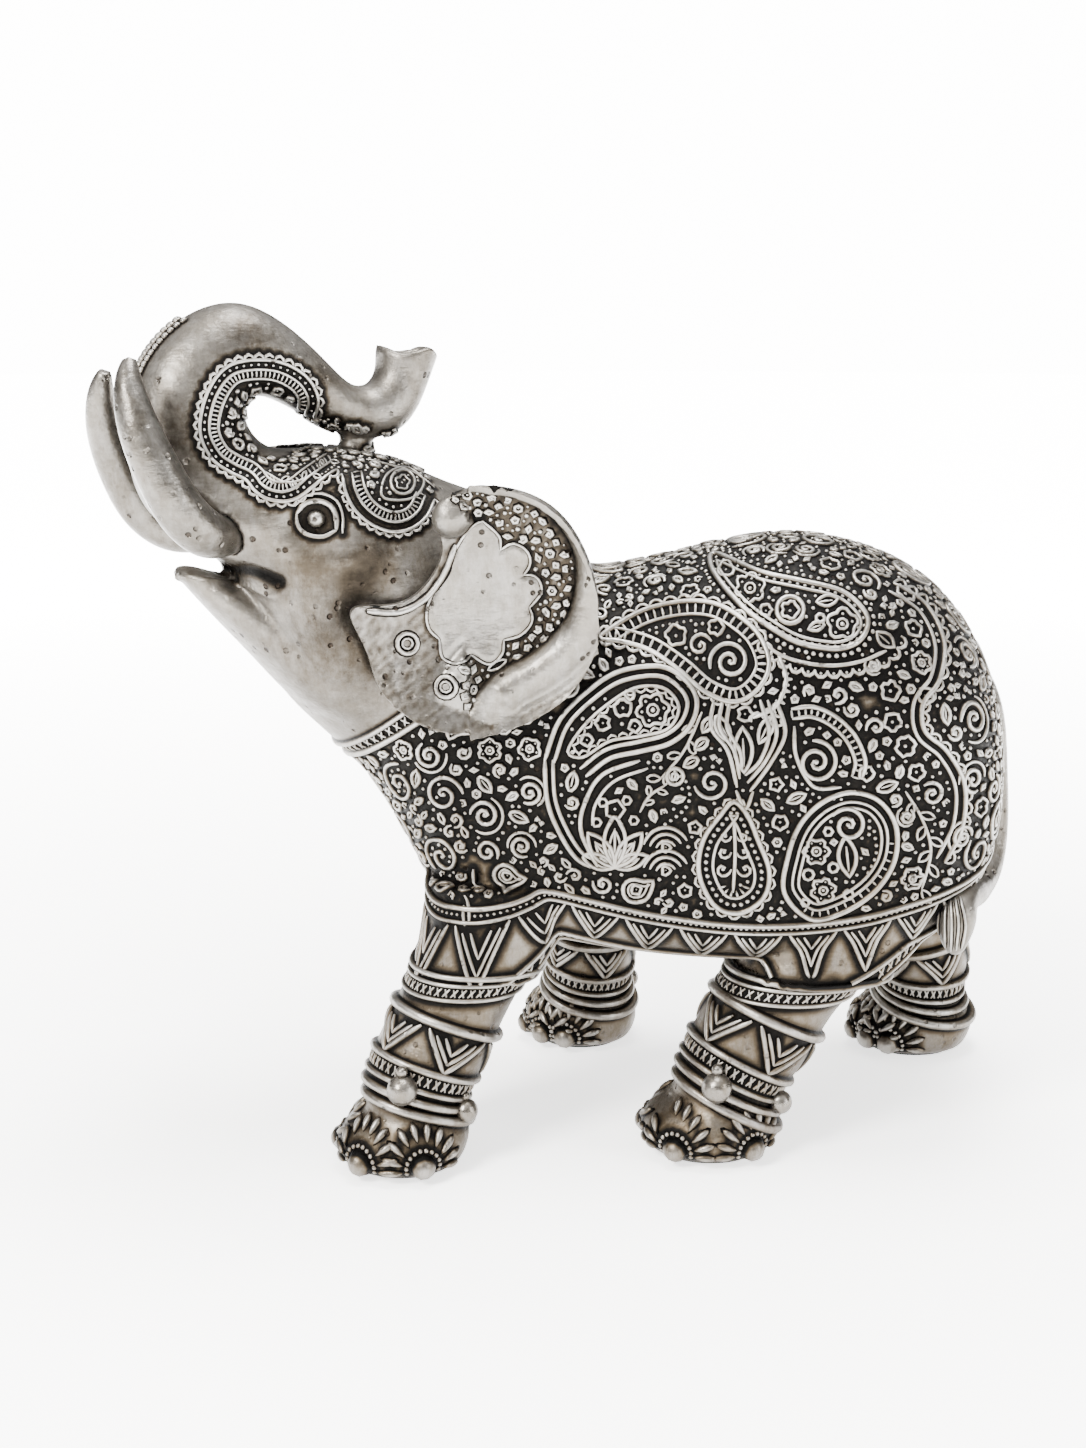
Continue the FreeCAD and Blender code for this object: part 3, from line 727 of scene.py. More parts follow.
def dome(name, around, pointed, height=0.85):
    """A bead or a petal of unit half length, lying on the skin."""
    rings = [(1.22, -0.35, 0.0), (1.0, 0.05, 0.0), (0.88, 0.5 * height, 0.62), (0.5, 0.88 * height, 0.9)]
    points, tones, faces = [], [], []
    for reach, up, tone in rings:
        for k in range(around):
            a = 2 * math.pi * k / around
            x, y = math.cos(a), math.sin(a)
            if pointed:
                y *= abs(math.sin(a)) ** 0.35 * (0.78 + 0.22 * math.cos(a))
            points.append((x * reach, y * reach, up))
            tones.append(tone)
    points += [(0, 0, height), (0, 0, -0.35)]
    tones += [1.0, 0.0]
    for r in range(len(rings) - 1):
        for k in range(around):
            a, b = r * around + k, r * around + (k + 1) % around
            faces.append((a, b, b + around, a + around))
    last = (len(rings) - 1) * around
    for k in range(around):
        faces.append((last + k, last + (k + 1) % around, len(points) - 2))
        faces.append(((k + 1) % around, k, len(points) - 1))
    mesh = bpy.data.meshes.new(name)
    mesh.from_pydata([tuple(np.array(p) * MM) for p in points], [], faces)
    mesh.attributes.new("tone", "FLOAT", "POINT").data.foreach_set("value", tones)
    return new_object(name, mesh)


def raised_work_tree():
    """Sweeps a section along every line, and sets a bead or a petal at every point."""
    tree = bpy.data.node_groups.new("raised work", "GeometryNodeTree")
    for name, kind in (("Geometry", "Geometry"), ("Section", "Object"), ("Line width", "Float"),
            ("Bead points", "Object"),
                       ("Bead", "Object"), ("Bead size", "Float"), ("Petal points", "Object"), ("Petal",
                           "Object"), ("Finish", "Material")):
        tree.interface.new_socket(name, in_out="INPUT", socket_type="NodeSocket" + kind)
    tree.interface.new_socket("Geometry", in_out="OUTPUT", socket_type="NodeSocketGeometry")
    n = Nodes(tree)
    given = tree.nodes.new("NodeGroupInput")
    asked = {s.name: Reading(n, s) for s in given.outputs if s.name}

    def named(name, kind):
        return n.add("GeometryNodeInputNamedAttribute", {"data_type": kind}, {"Name": name},
            out="Attribute")

    def shape(name):
        return n.add("GeometryNodeObjectInfo", inputs={"Object": asked[name]}, out="Geometry")

    curve = n.add("GeometryNodeMeshToCurve", inputs={"Mesh": asked["Geometry"]})
    curve = n.add("GeometryNodeSetCurveNormal", {"mode": "FREE"}, {"Curve": curve,
        "Normal": named("lift", "FLOAT_VECTOR")})
    section = n.add("GeometryNodeMeshToCurve", inputs={"Mesh": shape("Section")})
    swept = n.add("GeometryNodeCurveToMesh", inputs={"Curve": curve, "Profile Curve": section,
        "Fill Caps": True,
                                                     "Scale": named("broad", "FLOAT") * asked["Line width"]})
    joined = tree.nodes.new("GeometryNodeJoinGeometry")
    tree.links.new(swept.socket, joined.inputs[0])
    for points, item in (("Bead points", "Bead"), ("Petal points", "Petal")):
        turn = n.add("FunctionNodeAxesToRotation", {"primary_axis": "Z", "secondary_axis": "X"},
                     {"Primary Axis": named("lift", "FLOAT_VECTOR"), "Secondary Axis": named("way",
                         "FLOAT_VECTOR")})
        size = n.add("ShaderNodeVectorMath", {"operation": "SCALE"},
            {"Vector": named("size", "FLOAT_VECTOR"), "Scale": asked["Bead size"]})
        spots = n.add("GeometryNodeMeshToPoints", inputs={"Mesh": shape(points)})
        set_out = n.add("GeometryNodeInstanceOnPoints", inputs={"Points": spots, "Instance": shape(item),
            "Rotation": turn, "Scale": size})
        tree.links.new(set_out.socket, joined.inputs[0])
    real = n.add("GeometryNodeRealizeInstances", inputs={"Geometry": Reading(n, joined.outputs[0])})
    done = n.add("GeometryNodeSetMaterial", inputs={"Geometry": real, "Material": asked["Finish"]})
    out = tree.nodes.new("NodeGroupOutput")
    tree.links.new(done.socket, out.inputs[0])
    return tree


def raise_work(work, finish, slot):
    """Makes one piece of all the raised work."""
    places, lifts, widths, links = [], [], [], []
    for run, normals, width, closed in work.lines:
        first = len(places)
        places += list(run)
        lifts += list(normals)
        widths += list(width)
        links += [(first + i, first + i + 1) for i in range(len(run) - 1)]
        if closed:
            links.append((first + len(run) - 1, first))
    if not places:
        places, lifts, widths = [(0, 0, 0)], [(0, 0, 1)], [1.0]
    holder = new_object(work.name, point_mesh(work.name, places, links, lift=lifts, broad=widths))
    spots = {}
    for kind in ("beads", "petals"):
        rows = getattr(work, kind)
        columns = [np.array([row[i] for row in rows]).reshape(-1, 3) for i in range(4)]
        spots[kind] = new_object(work.name + kind, point_mesh(work.name + kind, columns[0], [],
            lift=columns[1], way=columns[2], size=columns[3]))
    modifier = holder.modifiers.new("raised work", "NODES")
    modifier.node_group = RAISED_WORK
    values = {"Section": SECTION, "Line width": 1.0, "Bead points": spots["beads"], "Bead": BEAD,
        "Bead size": 1.0,
              "Petal points": spots["petals"], "Petal": PETAL, "Finish": finish}
    for item in RAISED_WORK.interface.items_tree:
        if item.in_out == "INPUT" and item.name in values:
            modifier[item.identifier] = values[item.name]
    mesh = evaluated(holder)
    for thing in spots.values():
        bpy.data.objects.remove(thing)
    mesh.polygons.foreach_set("use_smooth", [True] * len(mesh.polygons))
    return finished(work.name, mesh, finish, slot)


def finished(name, mesh, finish, slot, replaced=()):
    """Puts a mesh in the scene as a piece of the figurine."""
    if not mesh.materials:
        mesh.materials.append(finish)
    mesh.materials[0] = finish
    piece = new_object(name, mesh)
    piece.name = name
    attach(piece, "root")
    if replaced:
        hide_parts(*replaced)
    return piece


def skin_piece(name, skin, faces, tone, finish, slot, replaced):
    used, flat = np.unique(faces, return_inverse=True)
    mesh = bpy.data.meshes.new(name)
    mesh.from_pydata((skin.points[used] * MM).tolist(), [], flat.reshape(-1, 4).tolist())
    mesh.attributes.new("tone", "FLOAT", "POINT").data.foreach_set("value", tone[used])
    mesh.polygons.foreach_set("use_smooth", [True] * len(mesh.polygons))
    return finished(name, mesh, finish, slot, replaced)


def shade_by(skin, works, base):
    """Tone of each skin point: dark beside raised work, base away from it."""
    tree = tree_of([p for work in works for p in work.samples()])
    tone = base.copy()
    for i, p in enumerate(skin.points):
        away = tree.find(p)[2]
        if away < WAX_FAR:
            if np.dot(p - NECK, NECK_WAY) > -2:
                away *= WAX_THINNER
            t = min(max((away - WAX_NEAR) / (WAX_FAR - WAX_NEAR), 0.0), 1.0)
            tone[i] *= t ** 0.8
    return tone


# ---------------------------------------------------------------- the castings' skins
SECTION = section_of_a_line()
BEAD = dome("bead", 9, False)
PETAL = dome("petal", 10, True, 1.05)
RAISED_WORK = raised_work_tree()

body_nodes = ["body_shell", "head_and_trunk", "pour_plug", "neck_dowel", "leg_dowels", "tail_pin",
    "ear_pins"]
body_nodes += [leg + "_leg" for leg in LEGS]
skin = cast(body_nodes, SKIN_GRAIN, 4)


def soften(skin, centre, reach, rounds):
    """Rounds off the skin near a place."""
    links = links_of(skin.faces)
    near = (np.linalg.norm(skin.points - centre, axis=1) < reach)[:, None]
    for _ in range(rounds):
        skin.points = np.where(near, relaxed(skin.points, links), skin.points)


def sculpt_head(skin):
    """Eye sockets, brows, cheeks and folds of the head, on both sides."""
    for side in (1, -1):
        at = lambda along, out, up: in_head(along, side * out, up)
        out = HEAD_OUT * side
        push(skin, at(-37.5, 23.5, 35.2), (7.0, 9, 5.6), -3.0, out)
        push(skin, at(-35.0, 21.5, 42.5), (10.0, 9, 3.2), 1.8, out + SKY * 0.4)
        push(skin, at(-31.0, 24.5, 27.0), (8.5, 9, 4.2), 1.8, out)
        push(skin, at(-27.0, 26.0, 13.0), (7.5, 9, 8.0), -3.0, out)
        push(skin, at(-20.0, 26.0, 28.0), (6.0, 9, 7.0), -2.0, out)
        push(skin, at(-43.0, 20.0, 22.0), (5.0, 9, 6.0), -1.8, out)
        push(skin, at(-36.0, 24.0, 14.0), (5.0, 9, 5.0), 1.2, out)
    tip = on_sheet(skin)
    for x, y, reach, by, way in ((-23.2, 71.6, (3.2, 9, 4.4), 2.6, SKY + HEAD_ALONG * 0.3),
            (-31.9, 73.6, (2.6, 9, 3.0), 1.3, SKY - HEAD_ALONG * 0.4),
                                 (-27.8, 73.2, (2.4, 9, 3.0), -0.7, SKY)):
        lip = tip(x, y)
        if lip is not None:
            push(skin, lip[0] + HEAD_OUT * -4.0, reach, by, way)
    soften(skin, in_head(-28.0, 0.0, 66.0), 11.0, 8)
    skin.refresh()


def fill_out_hem(skin):
    """The body's lower edge is fuller than its shell, so that the hem faces outwards."""
    side = np.abs(skin.points[:, 1] - BODY_PLANE)
    under = np.degrees(np.arctan2(92.0 - skin.points[:, 2], side))
    ends = np.clip((skin.points[:, 0] + 22) / 16, 0, 1) * np.clip((96 - skin.points[:, 0]) / 16, 0, 1)
    body = (skin.points[:, 2] > 45.5) & (side > 12)
    by = 3.4 * np.exp(-(((under - 55) / 10.5) ** 2)) * ends * body
    out = np.stack([np.zeros_like(side), np.sign(skin.points[:, 1] - BODY_PLANE) * 0.55,
        np.full_like(side, -0.83)], 1)
    skin.points = skin.points + out * by[:, None]
    skin.refresh()


fill_out_hem(skin)
sculpt_head(skin)

tusk_skins = {side: cast([side + "_tusk"], FINE_GRAIN, 2) for side in ("left", "right")}
ear_skins = {side: cast([side + "_ear"], FINE_GRAIN, 7) for side in ("left", "right")}
tail_skin = cast(["tail"], FINE_GRAIN, 2)


# ---------------------------------------------------------------- the ornament
WORKS = []
sheet = on_sheet(skin)


def on_body(p):
    return p[2] > 58 and p[0] > -34


def near_half(p):
    return p[1] < BODY_PLANE - 0.6


def motif_at(work, chart_skin, place, motif, up=SKY, turn=0.0):
    """A small drawing made flat on the skin where the sheet's point lands."""
    hit = on_sheet(chart_skin)(*place)
    if hit is None:
        return
    drawing = Drawing()
    motif(drawing)
    work.draw(Patch(chart_skin, hit, up, turn), drawing)


def flank_drawing():
    """The large figures of the near side, on its drawing sheet."""
    d = Drawing()
    # long beaded drop over the back
    drop = d.paisley([(34.6, 33.8), (43.4, 30.2), (51.4, 28.4), (59.4, 26.4), (63.8, 22.8), (64.8, 19.6),
        (63, 16.4),
                      (59.4, 15), (55.4, 15.2), (50.4, 16.4), (45.4, 19.2), (40.4, 22.8), (35.8,
                          27.8), (33.6, 31.6)], (1.3,), bead=0.62, broad=1.15)
    d.beads_along(drop, 1.55, 0.5, closed=True, away=-0.55)
    d.flower(41.4, 27.0, 3.1, 6, 20)
    d.ring(49.4, 22.6, 2.7, 1.0)
    d.flower(49.4, 22.6, 1.9, 5)
    d.flower(59.8, 19.9, 3.2, 5, 15)
    d.leaf(54.6, 24.2, 4.4, 2.2, 8)
    d.leaf(53.0, 18.8, 3.6, 1.8, 20)
    d.flower(36.6, 30.8, 1.7, 3, 90)
    d.flower(44.6, 22.6, 1.3, 5)
    d.ring(55.4, 21.0, 0.9)
    for x, y in ((45.2, 25.2), (46.6, 20.6), (52.6, 21.4), (56.4, 17.6), (54.4, 26.6), (63.0, 19.2),
            (39.0, 29.4), (38.4, 25.6)):
        d.beads.append((x, y, 0.5))
    d.scallops(smooth([(43.4, 16.4), (47.0, 13.2), (51.4, 11.4), (57.4, 10.6), (63.4, 11.4), (69.4, 13.4),
        (71.5, 17.5)])[::-1], 2.6, 1.5, 0.8, dots=0.4)
    d.line([(43.0, 17.2), (46.6, 14.2), (51.2, 12.4), (57.4, 11.6), (63.4, 12.4), (68.6, 14.6)], 0.8)
    d.leaf(66.6, 18.2, 4.6, 2.6, -40)
    # pierced drop with a long tail
    pierced = d.paisley([(11.4, 17.2), (19.4, 22.2), (27.4, 24.2), (33.8, 24.0), (38.8, 21.6), (43.2, 17.6),
        (45.2, 11.8), (42.8, 6.8),
                         (38.2, 4.4), (32.4, 6.4), (27.4, 10.6), (21.4, 14.6), (15.4,
                             16.4)], (2.5,), broad=1.05)
    d.ticks(pierced, 1.75, -0.5, -2.3, 0.8, closed=True)
    d.scallops(pierced, 2.9, 1.3, 0.72, closed=True, dots=0.36)
    d.spiral(37.4, 12.4, 4.2, 1.8, 200, -1, 0.95)
    d.spiral(31.4, 15.6, 2.5, 1.4, 20, 1, 0.8)
    d.flower(34.6, 19.2, 1.7, 5)
    d.flower(26.6, 17.6, 2.2, 5, 30)
    d.beads_along(smooth([(20.0, 18.2), (24.0, 19.6), (29.6, 20.6)]), 1.5, 0.42)
    d.line([(47.0, 13.8), (48.6, 9.0), (46.6, 3.6), (42.0, 1.2)], 0.9)
    d.scallops(smooth([(41.6, 0.4), (47.2, 2.6), (49.8, 8.2), (48.4, 14.0)]), 2.6, 1.5, 0.8, dots=0.4)
    # leaf drop with a laced heart
    outer = smooth([(0.4, -7.2), (3.4, 0.8), (9.4, 6.8), (15.4, 10.4), (23.4, 11.4), (28.4, 8.8),
        (30.8, 4.6), (29.4, -0.4), (25.4, -3.8), (19.4, -5.4), (13.4, -6.8), (8.6, -10.4)])
    d.double(outer, 1.1, -1.9, 0.95)
    d.ticks(outer, 1.9, -0.6, -1.4, 0.55)
    heart = d.line([(5.0, -5.4), (8.0, -0.6), (12.8, 3.8), (18.6, 7.2), (24.4, 7.0), (27.2, 3.4),
        (25.2, -0.8), (19.6, -2.4), (13.4, -3.4), (8.0, -6.6)], 0.75, closed=True)
    d.scallops(heart[::-1], 2.2, 1.1, 0.6, closed=True)
    d.flower(22.0, 2.8, 3.4, 6, 10)
    for x, y, r in ((16.0, 3.2, 1.9), (12.0, 0.2, 1.6), (8.8, -3.2, 1.3), (18.4, -0.4, 1.3),
            (17.4, 5.8, 1.1)):
        d.flower(x, y, r, 5, 15 * x)
    # vine and small ring drop
    d.twig([(31.8, 2.4), (29.8, -2.2), (27.6, -6.2), (23.6, -10.8)], 5, 3.0)
    for x, y, turn in ((32.0, -1.6, 60), (30.4, -5.0, 40), (28.2, -8.4, 30)):
        d.leaf(x, y, 3.4, 2.0, turn, 0.85)
    d.ring(26.4, -10.4, 1.7, 0.9)
    d.ring(26.4, -10.4, 0.8, 0.7)
    # tulip in the middle
    for away in (0.0, 1.7, 3.2):
        d.line([(34.2 + away, 4.8), (33.6 + away, -0.6), (37.0 + away * 0.75, -5.4),
            (38.8 + away * 0.3, -12.6 + away)], 0.95)
        d.line([(46.6 - away, 4.8), (48.4 - away, -1.6), (45.8 - away * 0.75, -7.2),
            (41.4 - away * 0.3, -13.4 + away)], 0.95)
    d.leaf(40.2, -9.6, 9.0, 3.6, 92, 0.9)
    d.leaf(37.4, -3.6, 6.2, 2.6, 118, 0.8)
    d.leaf(43.2, -3.8, 6.2, 2.6, 64, 0.8)
    d.line([(38.6, -13.2), (40.4, -17.0), (42.0, -13.4)], 0.9)
    d.flower(40.4, 2.0, 1.6, 5)
    # swirl with a rail
    rail = smooth([(49.6, 3.0), (54.0, 3.4), (58.6, 1.4), (62.4, -2.4), (64.4, -7.4), (63.6, -11.0)])
    d.double(rail, 0.95, -2.0, 0.85)
    d.ticks(rail, 1.45, -0.3, -1.8, 0.65)
    d.spiral(54.6, -7.6, 4.4, 1.9, 100, -1, 1.0)
    d.spiral(59.0, 5.8, 1.9, 1.3, 250, 1, 0.9)
    d.spiral(66.4, -0.6, 2.0, 1.3, 200, -1, 0.9)
    d.line([(50.2, -0.4), (50.6, -6.4), (54.0, -12.4), (59.6, -12.6)], 0.9)
    d.beads_along(smooth([(51.8, -12.0), (55.0, -14.6), (59.6, -15.0)]), 1.5, 0.45)
    # frame of the lotus
    left = smooth([(0.4, -7.2), (0.9, -15.2), (3.2, -21.4), (6.4, -26.4), (9.6, -28.6)])
    d.double(left, 1.05, 1.6, 0.9)
    d.line([(19.4, -7.2), (12.0, -10.0), (8.6, -15.2), (7.6, -21.2), (11.0, -28.6)], 1.0)
    d.line([(21.0, -8.8), (14.2, -11.4), (10.6, -15.8), (9.8, -20.2)], 0.75)
    for k, (turn, long) in enumerate(((20, 7.0), (52, 8.8), (90, 10.4), (128, 8.8), (160, 7.0))):
        d.leaf(14.4, -28.6, long, long * 0.42, turn, 0.9)
        d.leaf(14.4, -28.6, long * 0.72, long * 0.22, turn, 0.6, rib=False)
    d.flower(14.4, -17.0, 2.0, 5)
    for x, y in ((10.8, -19.6), (18.2, -19.2), (12.0, -15.6), (16.8, -15.2)):
        d.ring(x, y, 0.9, 0.7)
    d.twig([(19.4, -17.6), (21.2, -14.4), (24.4, -12.2)], 4, 2.2, 0.7)
    d.beads_along(smooth([(25.6, -8.6), (28.9, -12.0), (28.9, -16.2), (24.8, -19.8), (19.6, -22.6)]), 1.35,
        0.5)
    for y in (-25.2, -29.8):
        for r in (4.6, 3.3, 2.0):
            d.ring(24.6, y, r, 0.8, 25, 165)
        d.flower(24.6, y + 0.6, 1.0, 5)
    # hanging drop with a beaded rim
    hanging = d.paisley([(38.2, -15.4), (41.0, -18.4), (43.0, -23.2), (45.2, -29.2), (44.2, -34.4),
        (39.6, -37.6), (34.4, -36.2), (31.2, -29.8), (32.0, -23.2), (35.4, -18.2)],
                        (2.9,), broad=1.1)
    d.beads_along(hanging, 1.4, 0.58, closed=True, away=-1.5)
    d.scallops(hanging, 2.5, 1.3, 0.72, closed=True, dots=0.36)
    d.line([(38.2, -19.2), (38.4, -26.0), (38.0, -33.6)], 0.8)
    for y, r in ((-22.4, 1.25), (-25.6, 1.5), (-29.0, 1.7)):
        d.spiral(38.2 - r - 0.5, y, r, 1.2, 0, -1, 0.7)
        d.spiral(38.2 + r + 0.5, y, r, 1.2, 180, 1, 0.7)
    for turn in (200, 228, 256, 284, 312, 340):
        d.petal(38.2 + 2.6 * math.cos(math.radians(turn)), -31.8 + 2.4 * math.sin(math.radians(turn)), turn,
            2.4, 0.9)
    # large bent drop
    bent = d.paisley([(48.2, -33.6), (49.0, -26.2), (51.4, -20.0), (55.8, -15.6), (61.4, -13.6),
        (67.0, -15.2), (70.4, -20.2), (70.2, -27.0), (66.6, -33.0), (60.2, -37.4), (53.4, -38.8)],
                     (1.9, 3.1), broad=1.1)
    d.ticks(bent, 1.9, -0.5, -1.6, 0.6, closed=True)
    d.spiral(61.0, -20.2, 3.7, 1.7, 150, -1, 0.95)
    d.leaf(61.2, -30.4, 8.0, 3.6, 96, 0.9)
    d.flower(54.6, -25.4, 2.7, 6)
    d.flower(56.0, -33.2, 2.6, 6, 15)
    d.beads_along(smooth([(66.2, -21.4), (66.6, -26.0), (64.4, -31.0)]), 1.4, 0.5)
    for x, y, r in ((58.0, -28.6, 1.0), (53.0, -30.0, 1.1), (61.0, -34.0, 1.0), (57.0, -21.4, 0.9),
            (52.4, -35.6, 0.8)):
        d.ring(x, y, r, 0.75)
    # right of it
    d.twig([(72.4, -13.4), (75.6, -18.8), (77.4, -25.2), (75.6, -33.0)], 8, 3.2)
    rump = smooth([(70.0, 28.0), (76.6, 23.4), (80.0, 16.0), (79.0, 8.6), (75.8, 4.0), (76.2, -1.4),
        (80.6, -5.4), (84.0, -12.0), (83.6, -20.4), (80.2, -27.6)])
    d.double(rump, 1.0, -1.8, 0.8)
    d.scallops(rump, 2.6, 1.4, 0.7, dots=0.36)
    return d


near_flank = Work("near_flank_relief")
near_flank.draw(sheet, flank_drawing())
ROSETTES = (
    # across, up, size, petals
    (57.4, 31.8, 2.4, 6), (61.8, 33.4, 2.2, 5), (67.4, 30.6, 2.6, 6), (72.4, 26.0, 2.4, 6), (29.4, 26.4,
        2.2, 5), (69.4, 6.6, 2.3, 5), (69.8, 0.4, 2.1, 5),
    (64.6, -9.8, 1.8, 5), (72.4, -4.4, 2.4, 6), (74.6, -9.6, 2.0, 5), (75.6, 12.2, 2.6, 6), (76.4, 5.6, 2.0,
        5), (73.8, -30.8, 2.8, 6), (74.0, 19.0, 2.2, 5),
    (-10.6, -5.2, 2.8, 6), (-3.2, 2.0, 2.2, 5), (4.0, 12.6, 2.2, 5), (5.6, 19.8, 2.2, 5), (16.2, 28.2, 2.2,
        6),
    (46.6, 0.6, 1.5, 5), (30.4, -20.6, 1.5, 5), (47.4, -19.6, 1.8, 5), (28.4, -33.2, 1.6, 5), (46.6, -12.0,
        1.6, 5))
for x, y, size, petals in ROSETTES:
    motif_at(near_flank, skin, (x, y), lambda d: d.flower(0, 0, size, petals, 7 * x), turn=3 * y)
CURLS = (
    (42.4, 34.4, 2.2), (47.4, 35.0, 2.4), (52.6, 34.6, 2.4), (86.0, 1.0, 4.2), (84.6, 14.0, 3.4), (85.8,
        -11.0, 3.2), (83.6, -22.6, 3.0), (72.6, -18.4, 1.8),
    (-22.6, -6.2, 3.2), (-11.6, -18.2, 3.4), (-2.6, -13.6, 2.8), (-4.2, -24.4, 2.6), (22.6, 28.4,
        2.2), (66.0, 11.6, 1.6), (35.6, 36.2, 2.0), (84.0, 24.0, 2.6))
for i, (x, y, size) in enumerate(CURLS):
    motif_at(near_flank, skin, (x, y), lambda d: (d.spiral(0, 0, size, 1.7, 40 * i, -1 if i % 2 else 1,
        0.95), d.ring(0, 0, size * 1.25, 0.7, 40 * i + 60, 40 * i + 250)), turn=20 * i)
near_flank.trim(lambda p: on_body(p) and near_half(p))


# ---------------------------------------------------------------- bands round the body and the legs
BELLY_LINE = (2.0, 72.0)        # the straight part of the line that the hem goes round
END_ROUND = 40.0
HEM_CENTRE = 92.0
HEM_ARM = 50.0
HEM_DROP = 40.5                 # the hem's top line, in degrees below level as seen from the hem's centre
HEM_END_RISE = 6.0              # the same line at the ends of the body, in degrees higher
HEM_MIDDLE = 38.0
HEM_HALF = 60.0


def hem_rise(x):
    """How much higher the hem's top line lies here than at the middle, in degrees."""
    return HEM_END_RISE * min(1.0, abs(x - HEM_MIDDLE) / HEM_HALF) ** 1.5


def hem_chart(s, down):
    """s runs round the hem from the middle of the chest; down is measured from the hem's top line."""
    long = BELLY_LINE[1] - BELLY_LINE[0]
    quarter = math.pi / 2 * END_ROUND
    s = s % (2 * long + 4 * quarter)
    if s < quarter:
        x, turn = BELLY_LINE[0], math.pi + s / END_ROUND
    elif s < quarter + long:
        x, turn = BELLY_LINE[0] + s - quarter, 1.5 * math.pi
    elif s < 3 * quarter + long:
        x, turn = BELLY_LINE[1], 1.5 * math.pi + (s - quarter - long) / END_ROUND
    elif s < 3 * quarter + 2 * long:
        x, turn = BELLY_LINE[1] - (s - 3 * quarter - long), math.pi / 2
    else:
        x, turn = BELLY_LINE[0], math.pi / 2 + (s - 3 * quarter - 2 * long) / END_ROUND
    out = np.array([math.cos(turn), math.sin(turn), 0.0])
    drop = math.radians(HEM_DROP - hem_rise(x + out[0] * END_ROUND)) + down / HEM_ARM
    way = out * math.cos(drop) - SKY * math.sin(drop)
    return skin.drop(np.array([x, BODY_PLANE, HEM_CENTRE]) + way * 110, -way)


HEM_ROUND = 2 * (BELLY_LINE[1] - BELLY_LINE[0]) + 2 * math.pi * END_ROUND


def straight(d, length, y, broad=1.0, step=1.2):
    count = int(length / step)
    d.lines.append((np.stack([np.linspace(0, length, count, endpoint=False), np.full(count, y)], 1), broad,
        True))


def nested_v(d, length, count, top, bottom, rings=3, broad=0.9):
    """Triangles that point down, one inside another, with plain ones between them."""
    pitch = length / count
    for k in range(count):
        middle = (k + 0.5) * pitch
        for ring in range(rings):
            half = pitch * (0.43 - ring * 0.135)
            tip = bottom + (top - bottom) * (0.02 + 0.24 * ring)
            head = top - 0.1 * (top - bottom) * (ring > 0)
            for way in (-1, 1):
                a, b = np.array([middle + way * half, head]), np.array([middle, tip])
                d.lines.append((np.linspace(a, b, 7), broad if ring == 0 else broad * 0.8, False))


def cross_band(d, length, y, half, pitch=2.3, broad=0.62):
    count = max(4, round(length / pitch))
    for k in range(count):
        x = (k + 0.5) * length / count
        for way in (-1, 1):
            d.lines.append((np.linspace((x - 0.62, y - way * half), (x + 0.62, y + way * half), 4), broad,
                False))


def hem_drawing():
    d = Drawing()
    straight(d, HEM_ROUND, 0.0, 1.15)
    straight(d, HEM_ROUND, -1.9, 0.85)
    for x in np.arange(0, HEM_ROUND, 1.25):
        d.beads.append((x, -0.95, 0.42))
    nested_v(d, HEM_ROUND, 32, -2.4, -10.2)
    straight(d, HEM_ROUND, -10.7, 1.05)
    straight(d, HEM_ROUND, -13.6, 0.9)
    cross_band(d, HEM_ROUND, -12.15, 0.85)
    return d


hem = Work("hem_relief")
hem.draw(lambda s, y: hem_chart(s, -y), hem_drawing())
hem.trim(lambda p: p[2] > 44)


LEG_REACH = 31.0                # from outside a leg to its axis
LEG_RADIUS = 15.5


class LegRound:
    """The chart round a leg: s goes round it from the front, y is the height at its axis."""

    def __init__(self, leg):
        low, high = (np.array(c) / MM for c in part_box(leg + "_leg"))
        spots = skin.points
        inside = ((spots[:, :2] > low[:2] - 1) & (spots[:, :2] < high[:2] + 1)).all(1)
        near = spots[inside & (spots[:, 2] > 9) & (spots[:, 2] < 42)]
        heights = np.arange(11.0, 41.0, 2.0)
        middles = np.array([near[np.abs(near[:, 2] - h) < 1.4][:, :2].mean(0) for h in heights])
        self.bend = [np.polyfit(heights, middles[:, k], 2) for k in (0, 1)]
        self.sole = np.array([(low[0] + high[0]) / 2, (low[1] + high[1]) / 2])
        self.round = 2 * math.pi * LEG_RADIUS

    def axis(self, height):
        h = max(min(height, 46.0), 10.0)
        return np.array([np.polyval(self.bend[0], h), np.polyval(self.bend[1], h), height])

    def __call__(self, s, y):
        along = SKY if y > 37 else unit(unit(self.axis(y + 1) - self.axis(y - 1)) + SKY * 0.25)
        ahead = unit(-RIGHT - along * np.dot(-RIGHT, along))
        left = np.cross(along, ahead)
        turn = s / self.round * 2 * math.pi
        way = ahead * math.cos(turn) + left * math.sin(turn)
        hit = skin.drop(self.axis(y) + way * LEG_REACH, -way)
        return None if hit is None or np.linalg.norm(hit[0] - self.axis(y)) > LEG_REACH - 1 else hit


def leg_drawing(round_, hind):
    d = Drawing()
    top = 33.2 if not hind else 32.2
    straight(d, round_, top, 1.9)
    nested_v(d, round_, 5, top - 1.4, top - 9.6, 3, 1.1)
    straight(d, round_, top - 10.0, 1.45)
    cross_band(d, round_, top - 12.1, 1.0, 2.5, 0.7)
    straight(d, round_, top - 14.2, 1.2)
    straight(d, round_, top - 16.6, 1.7)
    straight(d, round_, top - 19.2, 1.9)
    upper = 41.0 if not hind else 38.6
    for away, broad in ((0.0, 0.9), (3.2, 0.9), (4.9, 1.2)):
        straight(d, round_, upper + away, broad)
    cross_band(d, round_, upper + 1.6, 0.85, 2.3)
    return d


